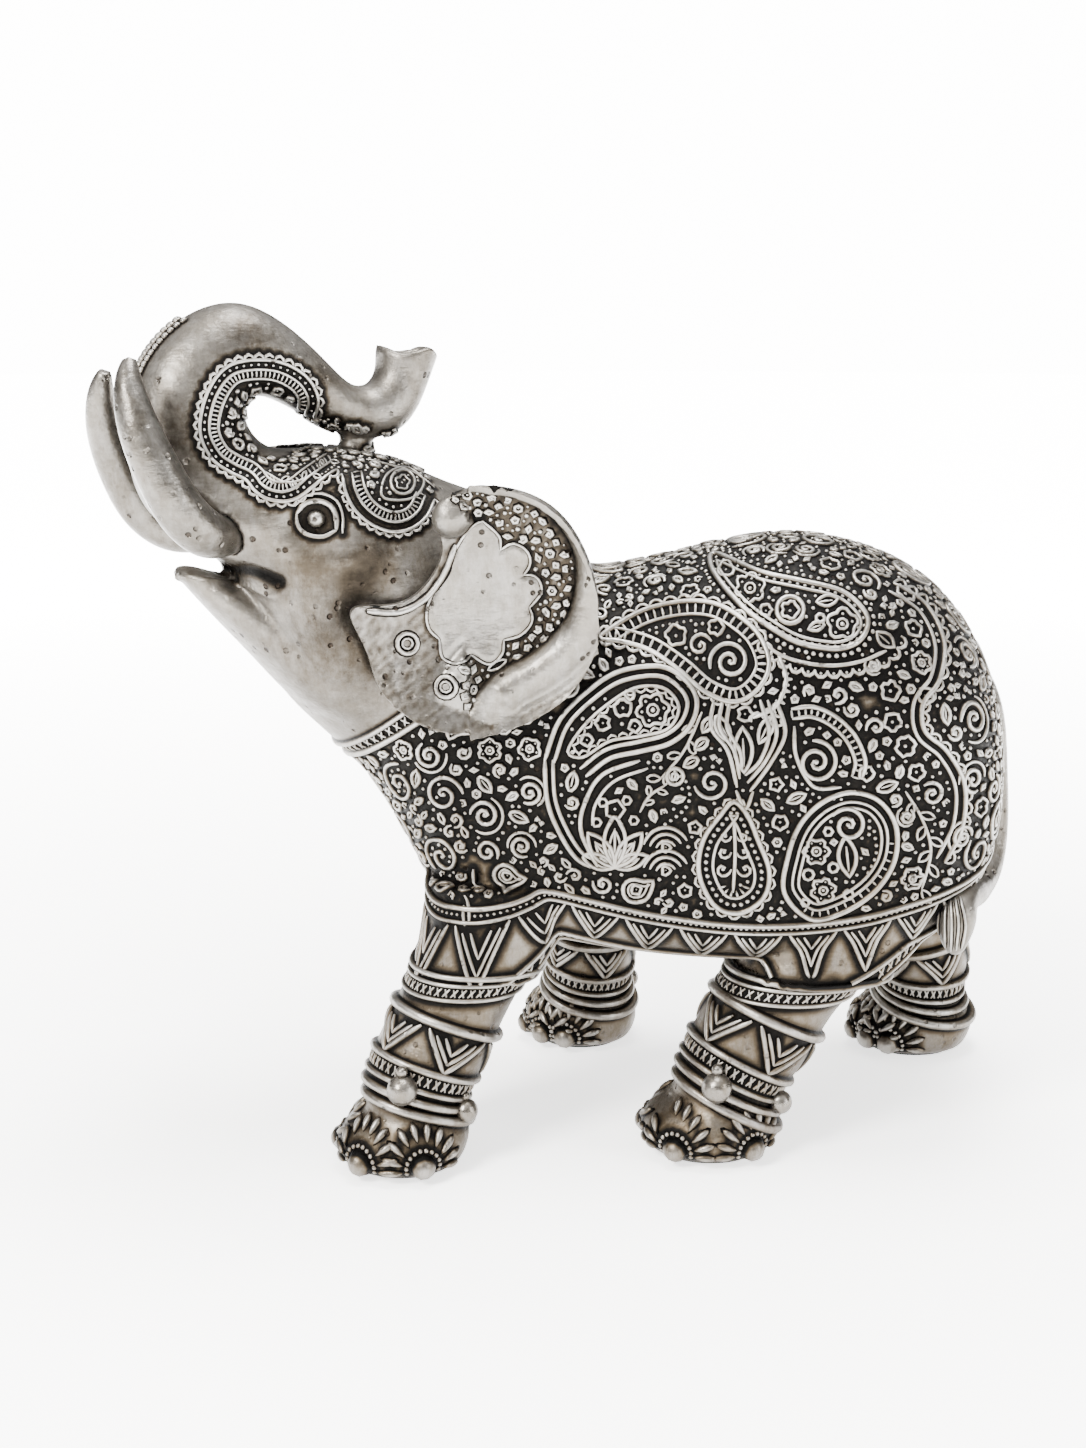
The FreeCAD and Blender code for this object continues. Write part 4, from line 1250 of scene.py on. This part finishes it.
def foot_drawing():
    d = Drawing()
    d.beads.append((0, 0, 2.9))
    for turn in np.arange(-20, 201, 20):
        d.beads.append((3.9 * math.cos(math.radians(turn)), 3.9 * math.sin(math.radians(turn)), 0.6))
    for turn in np.arange(-12, 193, 22.6):
        c, s = math.cos(math.radians(turn)), math.sin(math.radians(turn))
        d.petal(7.0 * c, 7.0 * s, turn, 5.2, 2.3)
    return d


TOES = {"front_left": (-76, -42, -8, 26), "hind_left": (-66, -32, 2, 36), "front_right": (-56, -22, 12, 46),
    "hind_right": (-56, -22, 12, 46)}
leg_works = {}
for leg in LEGS:
    chart = LegRound(leg)
    work = Work(leg + "_leg_relief")
    work.draw(chart, leg_drawing(chart.round, "hind" in leg))
    for turn in TOES[leg]:
        way = -RIGHT * math.cos(math.radians(turn)) + np.array([0, 1, 0]) * math.sin(math.radians(turn))
        hit = skin.drop(np.array([*chart.sole, 4.3]) + way * 40, -way)
        if hit is not None:
            work.draw(Patch(skin, hit, SKY), foot_drawing())
    leg_works[leg] = work

# ---------------------------------------------------------------- the collar at the neck
NECK_WAY = unit((-0.62, -0.1, 0.78))
NECK_RADIUS = 30.0
NECK_ROUND = 2 * math.pi * NECK_RADIUS


def neck_chart(s, y):
    way_up = unit(SKY - NECK_WAY * np.dot(SKY, NECK_WAY))
    side = np.cross(NECK_WAY, way_up)
    turn = s / NECK_RADIUS
    way = way_up * math.cos(turn) + side * math.sin(turn)
    return skin.drop(NECK + NECK_WAY * (y - 3) + way * 60, -way)


collar = Work("collar_relief")
d = Drawing()
straight(d, NECK_ROUND, 0.0, 1.3)
straight(d, NECK_ROUND, 3.4, 1.1)
cross_band(d, NECK_ROUND, 1.7, 0.9, 2.4)
collar.draw(neck_chart, d)


# ---------------------------------------------------------------- filling the ground between the figures
def fill_ground(work, surface, region, passes, seed, others=()):
    """Sets ever smaller motifs where there is room left on a skin."""
    draw = np.random.RandomState(seed)
    spots = np.where([region(p) for p in surface.points])[0]
    for size, tries, motifs in passes:
        tree = tree_of([p for w in (work, *others) for p in w.samples()])
        placed = []
        for i in draw.choice(spots, min(tries, len(spots)), replace=False):
            p = surface.points[i]
            real = size * (0.86 + 0.28 * draw.rand())
            turn, pick = draw.rand() * 360, draw.randint(len(motifs))
            if tree.find(p)[2] < real + 0.75:
                continue
            if placed and min(np.linalg.norm(p - q) - r for q, r in placed) < real + 0.45:
                continue
            placed.append((p, real))
            drawing = Drawing()
            motifs[pick](drawing, real, turn)
            work.draw(Patch(surface, (p, surface.normals[i]), SKY, turn), drawing)


def small_drop(d, r, turn):
    points = [(0, r * 1.05), (r * 0.5, r * 0.62), (r * 0.82, -r * 0.05), (r * 0.5, -r * 0.78),
        (-r * 0.1, -r * 0.95), (-r * 0.68, -r * 0.55), (-r * 0.66, r * 0.1), (-r * 0.18, r * 0.6)]
    outline = d.line(points, 0.95, closed=True)
    if r > 3:
        d.lines.append((beside(outline, -1.15, closed=True), 0.6, True))
        d.flower(0, -r * 0.12, r * 0.34, 5)
    else:
        d.ring(0, -r * 0.1, r * 0.3, 0.7)


def scroll(d, r, turn):
    """Two curls that grow out of one stem, with leaves at their backs."""
    hand = 1 if turn > 180 else -1
    d.spiral(-r * 0.40, r * 0.1 * hand, r * 0.5, 1.3, 0, hand, 0.85)
    d.spiral(r * 0.48, -r * 0.1 * hand, r * 0.44, 1.2, 180, hand, 0.8)
    if r > 2:
        d.leaf(-r * 0.1, hand * r * 0.55, r * 0.75, r * 0.34, 40 * hand, 0.7, rib=False)
        d.leaf(r * 0.1, -hand * r * 0.55, r * 0.75, r * 0.34, 180 + 40 * hand, 0.7, rib=False)


MOTIFS = {
    "flower": lambda d, r, t: d.flower(0, 0, r, 5 + int(t) % 2, t),
    "curl": lambda d, r, t: (d.spiral(0, 0, r, 1.6, t, 1 if t > 180 else -1, 0.9),),
    "drop": small_drop,
    "leaf": lambda d, r, t: (d.leaf(-r * 0.95, 0, r * 1.9, r * 0.95, 0, 0.85),),
    "ring": lambda d, r, t: (d.ring(0, 0, r * 0.8, 0.75), d.beads.append((0, 0, r * 0.34))),
    "pair": lambda d, r, t: (d.ring(0, 0, r * 0.85, 0.8, 20, 220), d.ring(0, 0, r * 0.42, 0.7, 200, 400)),
    "bead": lambda d, r, t: d.beads.append((0, 0, r)),
    "scroll": scroll,
    "hook": lambda d, r, t: (d.ring(0, 0, r * 0.8, 0.8, 20, 250), d.beads.append((r * 0.1, 0, r * 0.32))),
}


def kinds(*names):
    return [MOTIFS[n] for n in names]


PASSES = (
    (5.4, 900, kinds("drop", "drop", "scroll", "curl")), (3.8, 2200, kinds("drop", "scroll", "curl",
        "scroll")), (2.6, 5000, kinds("scroll", "curl", "leaf", "flower")),
    (1.7, 9000, kinds("scroll", "curl", "leaf", "leaf")), (1.05, 12000,
        kinds("leaf", "ring", "hook", "leaf")), (0.5, 14000, kinds("bead")))
QUIET = ((65.0, 4.5, 2.6), (2.5, 4.0, 2.8), (-12.6, -29.5, 4.0))
quiet_places = [(sheet(x, y), r * 1.12) for x, y, r in QUIET]


def free_of_quiet(p):
    return all(hit is None or min(np.linalg.norm(p - hit[0]),
        np.linalg.norm(body_sides(p) - hit[0])) > r for hit, r in quiet_places)


def hem_top(p):
    """Above the hem's top line."""
    off = p - np.array([min(max(p[0], BELLY_LINE[0]), BELLY_LINE[1]), BODY_PLANE, HEM_CENTRE])
    drop = math.degrees(math.atan2(-off[2], math.hypot(off[0], off[1])))
    return drop < HEM_DROP - 1.5 - hem_rise(p[0])


def off_neck(p):
    return np.dot(p - NECK, NECK_WAY) < -4.5


def near_region(p):
    return p[1] < BODY_PLANE - 1.2 and hem_top(p) and off_neck(p) and free_of_quiet(p) and p[0] < 104


near_ground = Work("near_ground_relief")
fill_ground(near_ground, skin, near_region, PASSES, SEED, (near_flank, hem, collar))
far_flank = near_flank.other_side("far_flank_relief", body_sides, skin)
far_ground = near_ground.other_side("far_ground_relief", body_sides, skin)
FLANKS = (near_flank, near_ground, far_flank, far_ground)
spine = Work("spine_relief")
fill_ground(spine, skin, lambda p: abs(p[1] - BODY_PLANE) < 6 and p[2] > 66 and off_neck(p), PASSES[2:],
    SEED + 1, (*FLANKS, hem, collar))

WORKS += [(work, "relief_silver") for work in FLANKS] + [(hem, "relief_silver"), (collar, "relief_silver"),
    (spine, "relief_silver")]
WORKS += [(leg_works[leg], "relief_silver") for leg in LEGS]

# tone of the skins: 0 is dark wax, 1 is rubbed silver; patches of painted shade on the head lower it too
SILVER, TUSK_SILVER = 0.60, 0.62
EAR_TONE = {}
TUSK_TONE = {side: np.full(len(tusk_skins[side].points), TUSK_SILVER) for side in ("left", "right")}
TAIL_TONE = np.full(len(tail_skin.points), SILVER)


# ---------------------------------------------------------------- the head's face and lace
def landed(skin_, points, step=0.7, closed=False):
    """Points of the skin along a smooth line on the near side's sheet."""
    chart = on_sheet(skin_)
    return [hit for hit in (chart(x, y) for x, y in smooth(points, closed, step)) if hit is not None]


def both_cheeks(points, reach, by):
    """Presses or draws out the same line on both sides of the head."""
    near = np.array([hit[0] for hit in landed(skin, points)])
    crease(skin, near, reach, by)
    far = np.array([skin.nearest(head_sides(p))[0] for p in near])
    crease(skin, far, reach, by)


MOUTH = [(-70.0, 31.6), (-64.0, 31.0), (-58.0, 30.6), (-52.6, 28.4)]
both_cheeks(MOUTH, 1.5, -1.6)
both_cheeks([(-73.0, 29.6), (-66.0, 28.6), (-60.0, 28.0), (-53.6, 25.6), (-51.4, 27.6)], 1.0, 0.7)
both_cheeks([(-69.6, 47.2), (-64.8, 42.9), (-64.5, 38.4), (-67.7, 35.2)], 0.8, 0.55)
both_cheeks([(-36.6, 22.6), (-34.6, 17.0), (-31.6, 9.0), (-27.0, 3.0)], 1.6, -1.0)
skin.refresh()

LACE_EDGE = [(-46.2, 59.6), (-45.0, 65.0), (-47.9, 69.9), (-54.3, 72.7), (-62.6, 71.8), (-67.1, 66.5),
    (-68.7, 58.8), (-66.4, 53.1), (-62.6, 50.2), (-59.4, 48.6),
             (-57.6, 46.4), (-55.0, 44.9), (-51.8, 44.5), (-48.8, 45.5), (-45.6, 47.8), (-41.2, 50.8)]
LOBE_EDGE = [(-40.3, 49.8), (-39.6, 46.4), (-37.6, 42.6), (-34.4, 39.8), (-30.4, 38.4), (-26.4, 39.0),
    (-23.4, 41.4), (-21.8, 44.8)]
head_lace = Work("head_lace_relief")
d = Drawing()
edge = smooth(LACE_EDGE)
d.lines.append((edge, 0.75, False))
d.scallops(edge[::-1], 2.0, 1.15, 0.72)
inner = beside(edge, 1.9)
d.lines += [(inner, 0.6, False), (beside(edge, 3.7), 0.6, False)]
d.ticks(inner, 0.95, 0.3, 1.5, 0.5)
d.beads_along(edge, 1.5, 0.36, away=0.95)
lobe = smooth(LOBE_EDGE)
d.lines.append((lobe, 0.75, False))
d.scallops(lobe[::-1], 1.9, 1.1, 0.7)
second = beside(lobe, 2.0)
d.lines += [(second, 0.6, False), (beside(lobe, 3.9), 0.6, False)]
d.ticks(second, 0.95, 0.3, 1.6, 0.5)
d.line([(-35.4, 52.8), (-30.8, 51.6), (-26.2, 50.2), (-21.8, 47.2)], 0.6)
d.ring(-28.2, 48.2, 2.4, 0.7)
d.flower(-28.2, 48.2, 1.5, 5, 10, 0.5)
d.line([(-32.4, 45.6), (-31.4, 49.6), (-27.6, 51.2), (-24.0, 48.6), (-25.6, 45.4), (-29.2, 44.6)], 0.6,
    closed=True)
d.twig([(-56.2, 50.6), (-51.4, 48.2), (-46.6, 49.4), (-42.6, 52.4)], 7, 1.8, 0.5)
head_lace.draw(sheet, d)
SMALL = ((1.5, 2600, kinds("flower", "curl", "leaf")), (1.0, 4200, kinds("ring", "curl", "leaf")),
    (0.62, 5200, kinds("bead")), (0.42, 5200, kinds("bead")))
lace_outline = np.vstack([
    edge, smooth([(-41.2, 50.4), (-40.3, 49.4)]), second, smooth([(-21.8, 47.2), (-26.0, 52.0),
    (-33.0, 57.0), (-40.6, 59.0), (-43.4, 56.6), (-48.6, 54.4), (-53.6, 52.8), (-58.0, 55.0),
    (-60.0, 60.0), (-58.6, 65.0), (-54.6, 67.0), (-49.4, 64.4)])])

WELD = in_head(-20.6, 0.0, 47.5)      # where the trunk is cast on to the forehead


def on_sheet_place(p):
    """Where a point is seen on the near side's sheet."""
    rel = p - VIEW_FROM
    share = SHEET_AWAY / np.dot(rel, FORWARD)
    return np.array([np.dot(rel, RIGHT), np.dot(rel, UPWARD)]) * share


def head_lace_region(p):
    if p[2] < 140 or p[0] > -25 or np.dot(p - NECK, HEAD_OUT) < -1:
        return False
    from_weld = p - WELD
    if np.linalg.norm(from_weld[:2]) < 6.5 and from_weld[2] > 0.5:
        return False
    return inside_of(lace_outline, on_sheet_place(p))


fill_ground(head_lace, skin, head_lace_region, SMALL, SEED + 2)
head_lace.trim(lambda p: np.dot(p - NECK, HEAD_OUT) > -0.6)
head_lace_far = head_lace.other_side("head_lace_far_relief", head_sides, skin)

# ridge of beads over the outside of the trunk
ridge = Work("trunk_ridge_relief")
for row, off in enumerate((-3.1, 0.0, 3.1)):
    for turn in np.radians(np.arange(100.0 + 2.6 * (row % 2), 200.0, 5.2)):
        way = HEAD_ALONG * math.cos(turn) + SKY * math.sin(turn)
        hit = skin.drop(in_head(-56.0, 0.0, 58.0) + way * 60 + HEAD_OUT * off, -way)
        if hit is not None:
            size = 1.35 if off == 0 else 0.95
            ridge.bead(hit, (size, size, size * 1.1))

# eyes: ball, lids and lashes
EYE_BALL = (2.1, 2.1, 2.9)
EYE_SUNK = 0.5
eyes = Work("eye_lids")
eye_places = {}
for side in (1, -1):
    middle = in_head(EYE[0], side * EYE[1], EYE[2])
    if side == 1:
        hit = sheet(-45.4, 41.0)
    else:
        hit = skin.nearest(head_sides(eye_places[1][0]))
    eye_places[side] = hit
    patch = Patch(skin, hit, SKY, -8 * side)
    flip = -1 if side == 1 else 1
    d = Drawing()
    lid = lambda pts: [(x * flip * -1, y) for x, y in pts]
    d.line(lid([(-4.3, 0.6), (-2.9, 3.0), (0.0, 4.0), (2.8, 3.2), (4.3, 0.8), (4.6, -2.0)]), 1.15)
    d.line(lid([(-4.9, 2.0), (-2.9, 4.5), (0.4, 5.5), (3.8, 4.5), (5.6, 1.4), (6.0, -2.6)]), 0.6)
    d.line(lid([(-4.3, 0.6), (-4.0, -1.6), (-2.6, -3.3), (-0.4, -4.0), (2.2, -3.8), (4.6, -2.0)]), 0.85)
    eyes.draw(patch, d)
    eyes.bead((hit[0] - hit[1] * EYE_SUNK, hit[1]), EYE_BALL)

# ---------------------------------------------------------------- the ears
PANEL = [[(-12.1, 40.6), (-8.9, 37.6), (-8.5, 34.8)], [(-8.5, 34.8), (-6.0, 36.1), (-3.4, 34.8),
    (-2.6, 32.2), (-3.9, 29.8)], [(-3.9, 29.8), (-1.4, 29.5), (-0.3, 26.6), (-2.7, 23.3)],
         [(-2.7, 23.3), (-2.2, 20.6), (-4.4, 17.9), (-7.9, 16.8)], [(-7.9, 16.8), (-8.3, 13.9),
             (-10.8, 12.0), (-14.4, 13.9)], [(-14.4, 13.9), (-16.9, 12.0), (-20.0, 13.2), (-20.7, 17.0)],
         [(-20.7, 17.0), (-22.9, 19.4), (-23.0, 23.7), (-20.2, 29.6), (-17.5, 34.8), (-14.5, 39.4),
             (-12.1, 40.6)]]
RIM_INNER = [(-18.2, 44.8), (-14.4, 46.2), (-6.7, 45.5), (-1.0, 42.5), (4.0, 36.7), (5.9, 31.4),
    (5.5, 25.2), (3.2, 19.5), (-2.2, 14.5), (-8.3, 11.1), (-12.4, 7.4), (-14.6, 1.6)]
panel_outline = np.vstack([smooth(part) for part in PANEL])
rim_line = smooth(RIM_INNER)
ear = ear_skins["left"]
ear_sheet = on_sheet(ear)
EAR_SHIFT = {"left": np.zeros(3), "right": -SKY * FAR_EAR_DROP}
ear_back = HEAD_ALONG * math.cos(EAR_FLARE) + HEAD_OUT * math.sin(EAR_FLARE)
ear_out = -HEAD_ALONG * math.sin(EAR_FLARE) + HEAD_OUT * math.cos(EAR_FLARE)


def near_ear_place(p, side):
    """The place on the drawing sheet of a point of either ear."""
    if side == "right":
        p = head_sides(p - EAR_SHIFT["right"])
    return on_sheet_place(p)


lace_zone = np.vstack([rim_line, smooth([(-14.6, 1.6), (-16.0, 8.0), (-14.4, 13.9)])[1:-1],
    np.array([(-10.8, 12.0), (-7.9, 16.8), (-2.7, 23.3), (-0.3, 26.6), (-3.9, 29.8), (-2.6, 32.2),
    (-8.5, 34.8), (-12.1, 40.6)])])
KNOB = (-9.6, 21.2, 1.5)
KNOB_REACH = 5.0
DISH = 56.0                 # radius of the ear's hollow, to its floor
DISH_BACK = 52.8            # from the ear's middle out to the hollow's centre


def flat_tree(line):
    return tree_of([(q[0], q[1], 0) for q in line])


def shape_ear(side):
    """Rolls an ear's rim, raises its lobed panel, hammers its front and gives each point its tone."""
    e = ear_skins[side]
    sign = 1 if side == "left" else -1
    drop = 0.0 if side == "left" else FAR_EAR_DROP
    middle = in_head(EAR_MIDDLE[0], sign * EAR_MIDDLE[1], EAR_MIDDLE[2] - drop)
    carry = (lambda v: v) if side == "left" else (lambda v: head_sides(NECK + v) - NECK)
    out, back = carry(ear_out), carry(ear_back)
    centre = middle + out * DISH_BACK
    knob = middle + back * KNOB[0] + SKY * KNOB[1] + out * KNOB[2]
    spoke = e.points - centre
    far = np.linalg.norm(spoke, axis=1)
    front = (far < DISH + 1.1) & (np.linalg.norm(e.points - knob, axis=1) > KNOB_REACH)
    to_rim_, to_panel_ = flat_tree(rim_line), flat_tree(panel_outline)
    last = len(rim_line) - 1
    from_knob = np.linalg.norm(e.points - knob, axis=1)
    tone = 0.68 - 0.6 * np.exp(-(((from_knob - KNOB_REACH - 1.1) / 0.6) ** 2))
    for i in np.where(front)[0]:
        x, y = near_ear_place(e.points[i], side)
        (_, spot, to_rim), to_panel = to_rim_.find((x, y, 0)), to_panel_.find((x, y, 0))[2]
        within = inside_of(rim_line, (x, y))
        full = min(1.0, min(spot, last - spot) * 0.7 / 7.0)
        if not within and 0 < spot < last and to_rim < 9.5:
            rise = 0.5 * full + 3.2 * full * max(0.0, math.sin(min(to_rim / 7.8, 1.0) * math.pi)) ** 0.6
            tone[i] = 0.74 - 0.66 * math.exp(-to_rim / 0.6) * full
        elif inside_of(panel_outline, (x, y)):
            rise = 0.8 * min(1.0, to_panel / 0.8)
            tone[i] = 0.72
        else:
            wave = (math.sin(2.1 * x + 0.7 * y + 1.7 * math.sin(0.9 * y + 0.4 * x))
                    + math.sin(2.4 * y - 1.1 * x + 1.9 * math.sin(0.7 * x - 0.5 * y))
                    + math.sin(3.3 * x - 2.6 * y + 1.5 * math.sin(1.3 * y))) / 3
            rise = 0.13 * wave
            deep = min(1.0, max(0.0, (x + 15.0 + 0.08 * y) / 5.0)) if within else 0.0
            tone[i] = (0.60 - 0.20 * deep - 0.5 * math.exp(-to_panel / 0.7)
                       - 0.3 * deep * math.exp(-to_rim / 1.2) + 0.12 * wave)
        e.points[i] = centre + spoke[i] / far[i] * (DISH - rise)
    for _ in range(2):
        e.points = relaxed(e.points, links_of(e.faces))
    e.refresh()
    EAR_TONE[side] = tone


for side in ("left", "right"):
    shape_ear(side)
ear_works = {}
work = Work("left_ear_relief")
d = Drawing()
for part in PANEL:
    d.line(part, 0.6)
d.line([(-17.5, 36.0), (-19.8, 29.8), (-23.6, 25.2), (-28.9, 22.4), (-35.4, 22.6)], 1.25)
for x, y in ((-27.2, 16.1), (-19.4, 7.4)):
    d.ring(x, y, 2.1, 0.95)
    d.ring(x, y, 1.1, 0.55)
d.line([(-11.0, 10.8), (-9.4, 12.6), (-7.2, 12.8), (-8.6, 11.0)], 0.6, closed=True)
work.draw(ear_sheet, d)


def ear_lace_region(p):
    x, y = on_sheet_place(p)
    return inside_of(lace_zone, (x, y)) and not inside_of(panel_outline,
        (x, y)) and np.dot(p - in_head(*EAR_MIDDLE), ear_out) > -12


facing_now = ear.normals @ ear_out > 0.3
spots_ok = {tuple(np.round(p, 3)) for p in ear.points[facing_now]}
fill_ground(work, ear, lambda p: tuple(np.round(p, 3)) in spots_ok and ear_lace_region(p), SMALL[1:],
    SEED + 3)
ear_works["left"] = work
ear_works["right"] = work.other_side("right_ear_relief", head_sides, ear_skins["right"], EAR_SHIFT["right"])

# hair of the tail's tuft
tuft = Work("tail_hair_relief")
d = Drawing()
for k in range(6):
    d.line([(83.4 - 0.9 * k, -34.6 - 0.3 * k), (84.4 - 1.3 * k, -40.0),
        (83.6 - 1.0 * k, -45.6 + 0.3 * abs(k - 2.5))], 0.62)
tuft.draw(on_sheet(tail_skin), d)

WORKS += [(head_lace, "skin_silver"), (head_lace_far, "skin_silver"), (ridge, "skin_silver"),
    (eyes, "skin_silver"),
          (ear_works["left"], "skin_silver"), (ear_works["right"], "skin_silver"), (tuft, "skin_silver")]

SKIN_TONE = np.full(len(skin.points), SILVER)
# painted shade and painted dark reflections: darker patches on the cheeks, round the eyes, on the forehead
# and on the trunk, on both sides of the head
SHADE_PATCHES = (
    # across, up, reach, how dark
    (-46.5, 32.5, 4.5, 0.16), (-38.0, 28.0, 7.0, 0.20), (-45.6, 41.0, 3.6, 0.60), (-41.5, 17.0, 6.0,
        0.12), (-34.0, 12.0, 5.0, 0.16), (-33.0, 33.0, 6.0, 0.14),
    (-53.0, 30.0, 5.0, 0.10), (-72.0, 60.0, 9.0, 0.14), (-58.0, 76.0, 8.0, 0.08), (-44.0, 69.0, 6.0,
        0.14), (-24.0, 66.0, 4.0, 0.08))
for x, y, reach, dark in SHADE_PATCHES:
    hit = sheet(x, y)
    if hit is not None:
        for place in (hit[0], skin.nearest(head_sides(hit[0]))[0]):
            SKIN_TONE -= dark * np.exp(-(np.linalg.norm(skin.points - place, axis=1) / reach) ** 2)
mouth = [hit[0] for hit in landed(skin, MOUTH)]
mouth += [skin.nearest(head_sides(p))[0] for p in mouth]
mouth_tree = tree_of(mouth)
for i in np.where((skin.points[:, 2] > 120) & (skin.points[:, 0] < -50))[0]:
    away = mouth_tree.find(skin.points[i])[2]
    if away < 3:
        SKIN_TONE[i] -= 0.55 * math.exp(-((away / 1.5) ** 2))


# ---------------------------------------------------------------- finishes and pieces
relief_silver = antique_silver("relief_silver", 1.0, pits=0.5, patina=1.35)
skin_silver = antique_silver("skin_silver", 1.0, pits=1.0, patina=0.8)
tusk_silver = antique_silver("tusk_silver", 0.8, pits=0.9, patina=0.9, roughness=0.3)
bell_silver = antique_silver("bell_silver", 1.1, pits=0.5, patina=1.0, roughness=0.28, plain=0.72)
felt, steel, rubber = dark_felt(), steel_pin(), stopper_rubber()
FINISHES = {"relief_silver": relief_silver, "skin_silver": skin_silver, "bell_silver": bell_silver}

for work, slot in WORKS:
    if work.lines or work.beads or work.petals:
        raise_work(work, FINISHES[slot], slot)


def nearest_nodes(skin, names):
    """For each facet of the skin, which CAD node it covers."""
    points, faces, owner = [], [], []
    for i, name in enumerate(names):
        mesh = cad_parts[name].data
        first = len(points)
        points += [v.co / MM for v in mesh.vertices]
        faces += [[first + k for k in p.vertices] for p in mesh.polygons]
        owner += [i] * len(mesh.polygons)
    tree = BVHTree.FromPolygons(points, faces)
    middles = skin.points[skin.faces].mean(1)
    return np.array([owner[tree.find_nearest(Vector(m))[2]] for m in middles])


outer = ["body_shell", "head_and_trunk"] + [leg + "_leg" for leg in LEGS]
owners = nearest_nodes(skin, outer)
tone = shade_by(skin, [w for w, _ in WORKS], SKIN_TONE)
for i, name in enumerate(outer):
    faces = skin.faces[owners == i]
    plain = name == "head_and_trunk"
    skin_piece(name.replace("_shell", "") + "_casting", skin, faces, tone,
        skin_silver if plain else relief_silver,
               "skin_silver" if plain else "relief_silver", [name])

for side in ("left", "right"):
    ear = ear_skins[side]
    skin_piece(side + "_ear_casting", ear, ear.faces, EAR_TONE[side], skin_silver, "skin_silver",
        [side + "_ear"])
    tusk = tusk_skins[side]
    skin_piece(side + "_tusk_casting", tusk, tusk.faces, TUSK_TONE[side], tusk_silver, "tusk_silver",
        [side + "_tusk"])
skin_piece("tail_casting", tail_skin, tail_skin.faces, TAIL_TONE, skin_silver, "skin_silver", ["tail"])

NODE_FINISHES = {"pad": felt, "dowel": steel, "pin": steel, "plug": rubber, "bells": bell_silver}
for name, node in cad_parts.items():
    finish = next((f for part, f in NODE_FINISHES.items() if part in name), None)
    if finish:
        node.data.materials.clear()
        node.data.materials.append(finish)

for helper in (SECTION, BEAD, PETAL):
    bpy.data.objects.remove(helper)

# ---------------------------------------------------------------- stage
floor_mesh = bpy.data.meshes.new("floor")
around = [(4.0 * math.cos(a), 4.0 * math.sin(a), 0.0) for a in np.linspace(0, 2 * math.pi, 96,
    endpoint=False)]
floor_mesh.from_pydata(around, [], [list(range(96))])
floor_mesh.materials.append(pale_floor())
floor = new_object("floor", floor_mesh)


def soft_light(name, place, aim, size, power, warmth):
    lamp = bpy.data.lights.new(name, "AREA")
    lamp.shape, lamp.size, lamp.energy, lamp.color = "DISK", size, power, warmth
    thing = new_object(name, lamp)
    thing.location = place
    thing.rotation_euler = (Vector(aim) - Vector(place)).to_track_quat("-Z", "Y").to_euler()
    return thing


MIDDLE = (0.0, 0.0, 0.09)
soft_light("key_light", (-0.55, -0.60, 0.70), MIDDLE, 0.34, 31.0, (1.0, 0.985, 0.96))
soft_light("fill_light", (0.80, -0.50, 0.30), MIDDLE, 0.30, 7.0, (0.97, 0.985, 1.0))
soft_light("top_light", (0.05, 0.05, 0.95), MIDDLE, 0.45, 24.0, (1.0, 1.0, 1.0))

world = bpy.data.worlds.new("studio")
bpy.context.scene.world = world
world.use_nodes = True
sky = Nodes(world.node_tree)
height = sky.add("ShaderNodeSeparateXYZ", inputs={"Vector": sky.add("ShaderNodeTexCoord", out="Generated")},
    out="Z")
grey = lambda v: (v, v * 0.995, v * 0.985, 1.0)
room = sky.add("ShaderNodeValToRGB", {"stops": [(0.0, grey(0.6)), (0.48, grey(0.35)), (0.60, grey(0.10)),
    (0.72, grey(0.40)), (0.84, grey(2.2)), (1.0, grey(3.4))]},
               {"Fac": height * 0.5 + 0.5})
behind = sky.add("ShaderNodeLightPath", out="Is Camera Ray")
wall = sky.tree.nodes.new("ShaderNodeMix")
wall.data_type = "RGBA"
sky.tree.links.new(behind.socket, wall.inputs[0])
colours = [s for s in wall.inputs if s.type == "RGBA"]
sky.tree.links.new(room.socket, colours[0])
colours[1].default_value = grey(15.0)
back = next(n for n in world.node_tree.nodes if n.type == "BACKGROUND")
sky.tree.links.new(next(s for s in wall.outputs if s.type == "RGBA"), back.inputs["Color"])
back.inputs["Strength"].default_value = 1.0

lens = bpy.data.cameras.new("camera")
lens.sensor_width, lens.lens = 36.0, 46.77
camera = new_object("camera", lens)
camera.location = VIEW_FROM * MM
camera.rotation_euler = (math.radians(90) - VIEW_DOWN, 0, 0)
bpy.context.scene.camera = camera
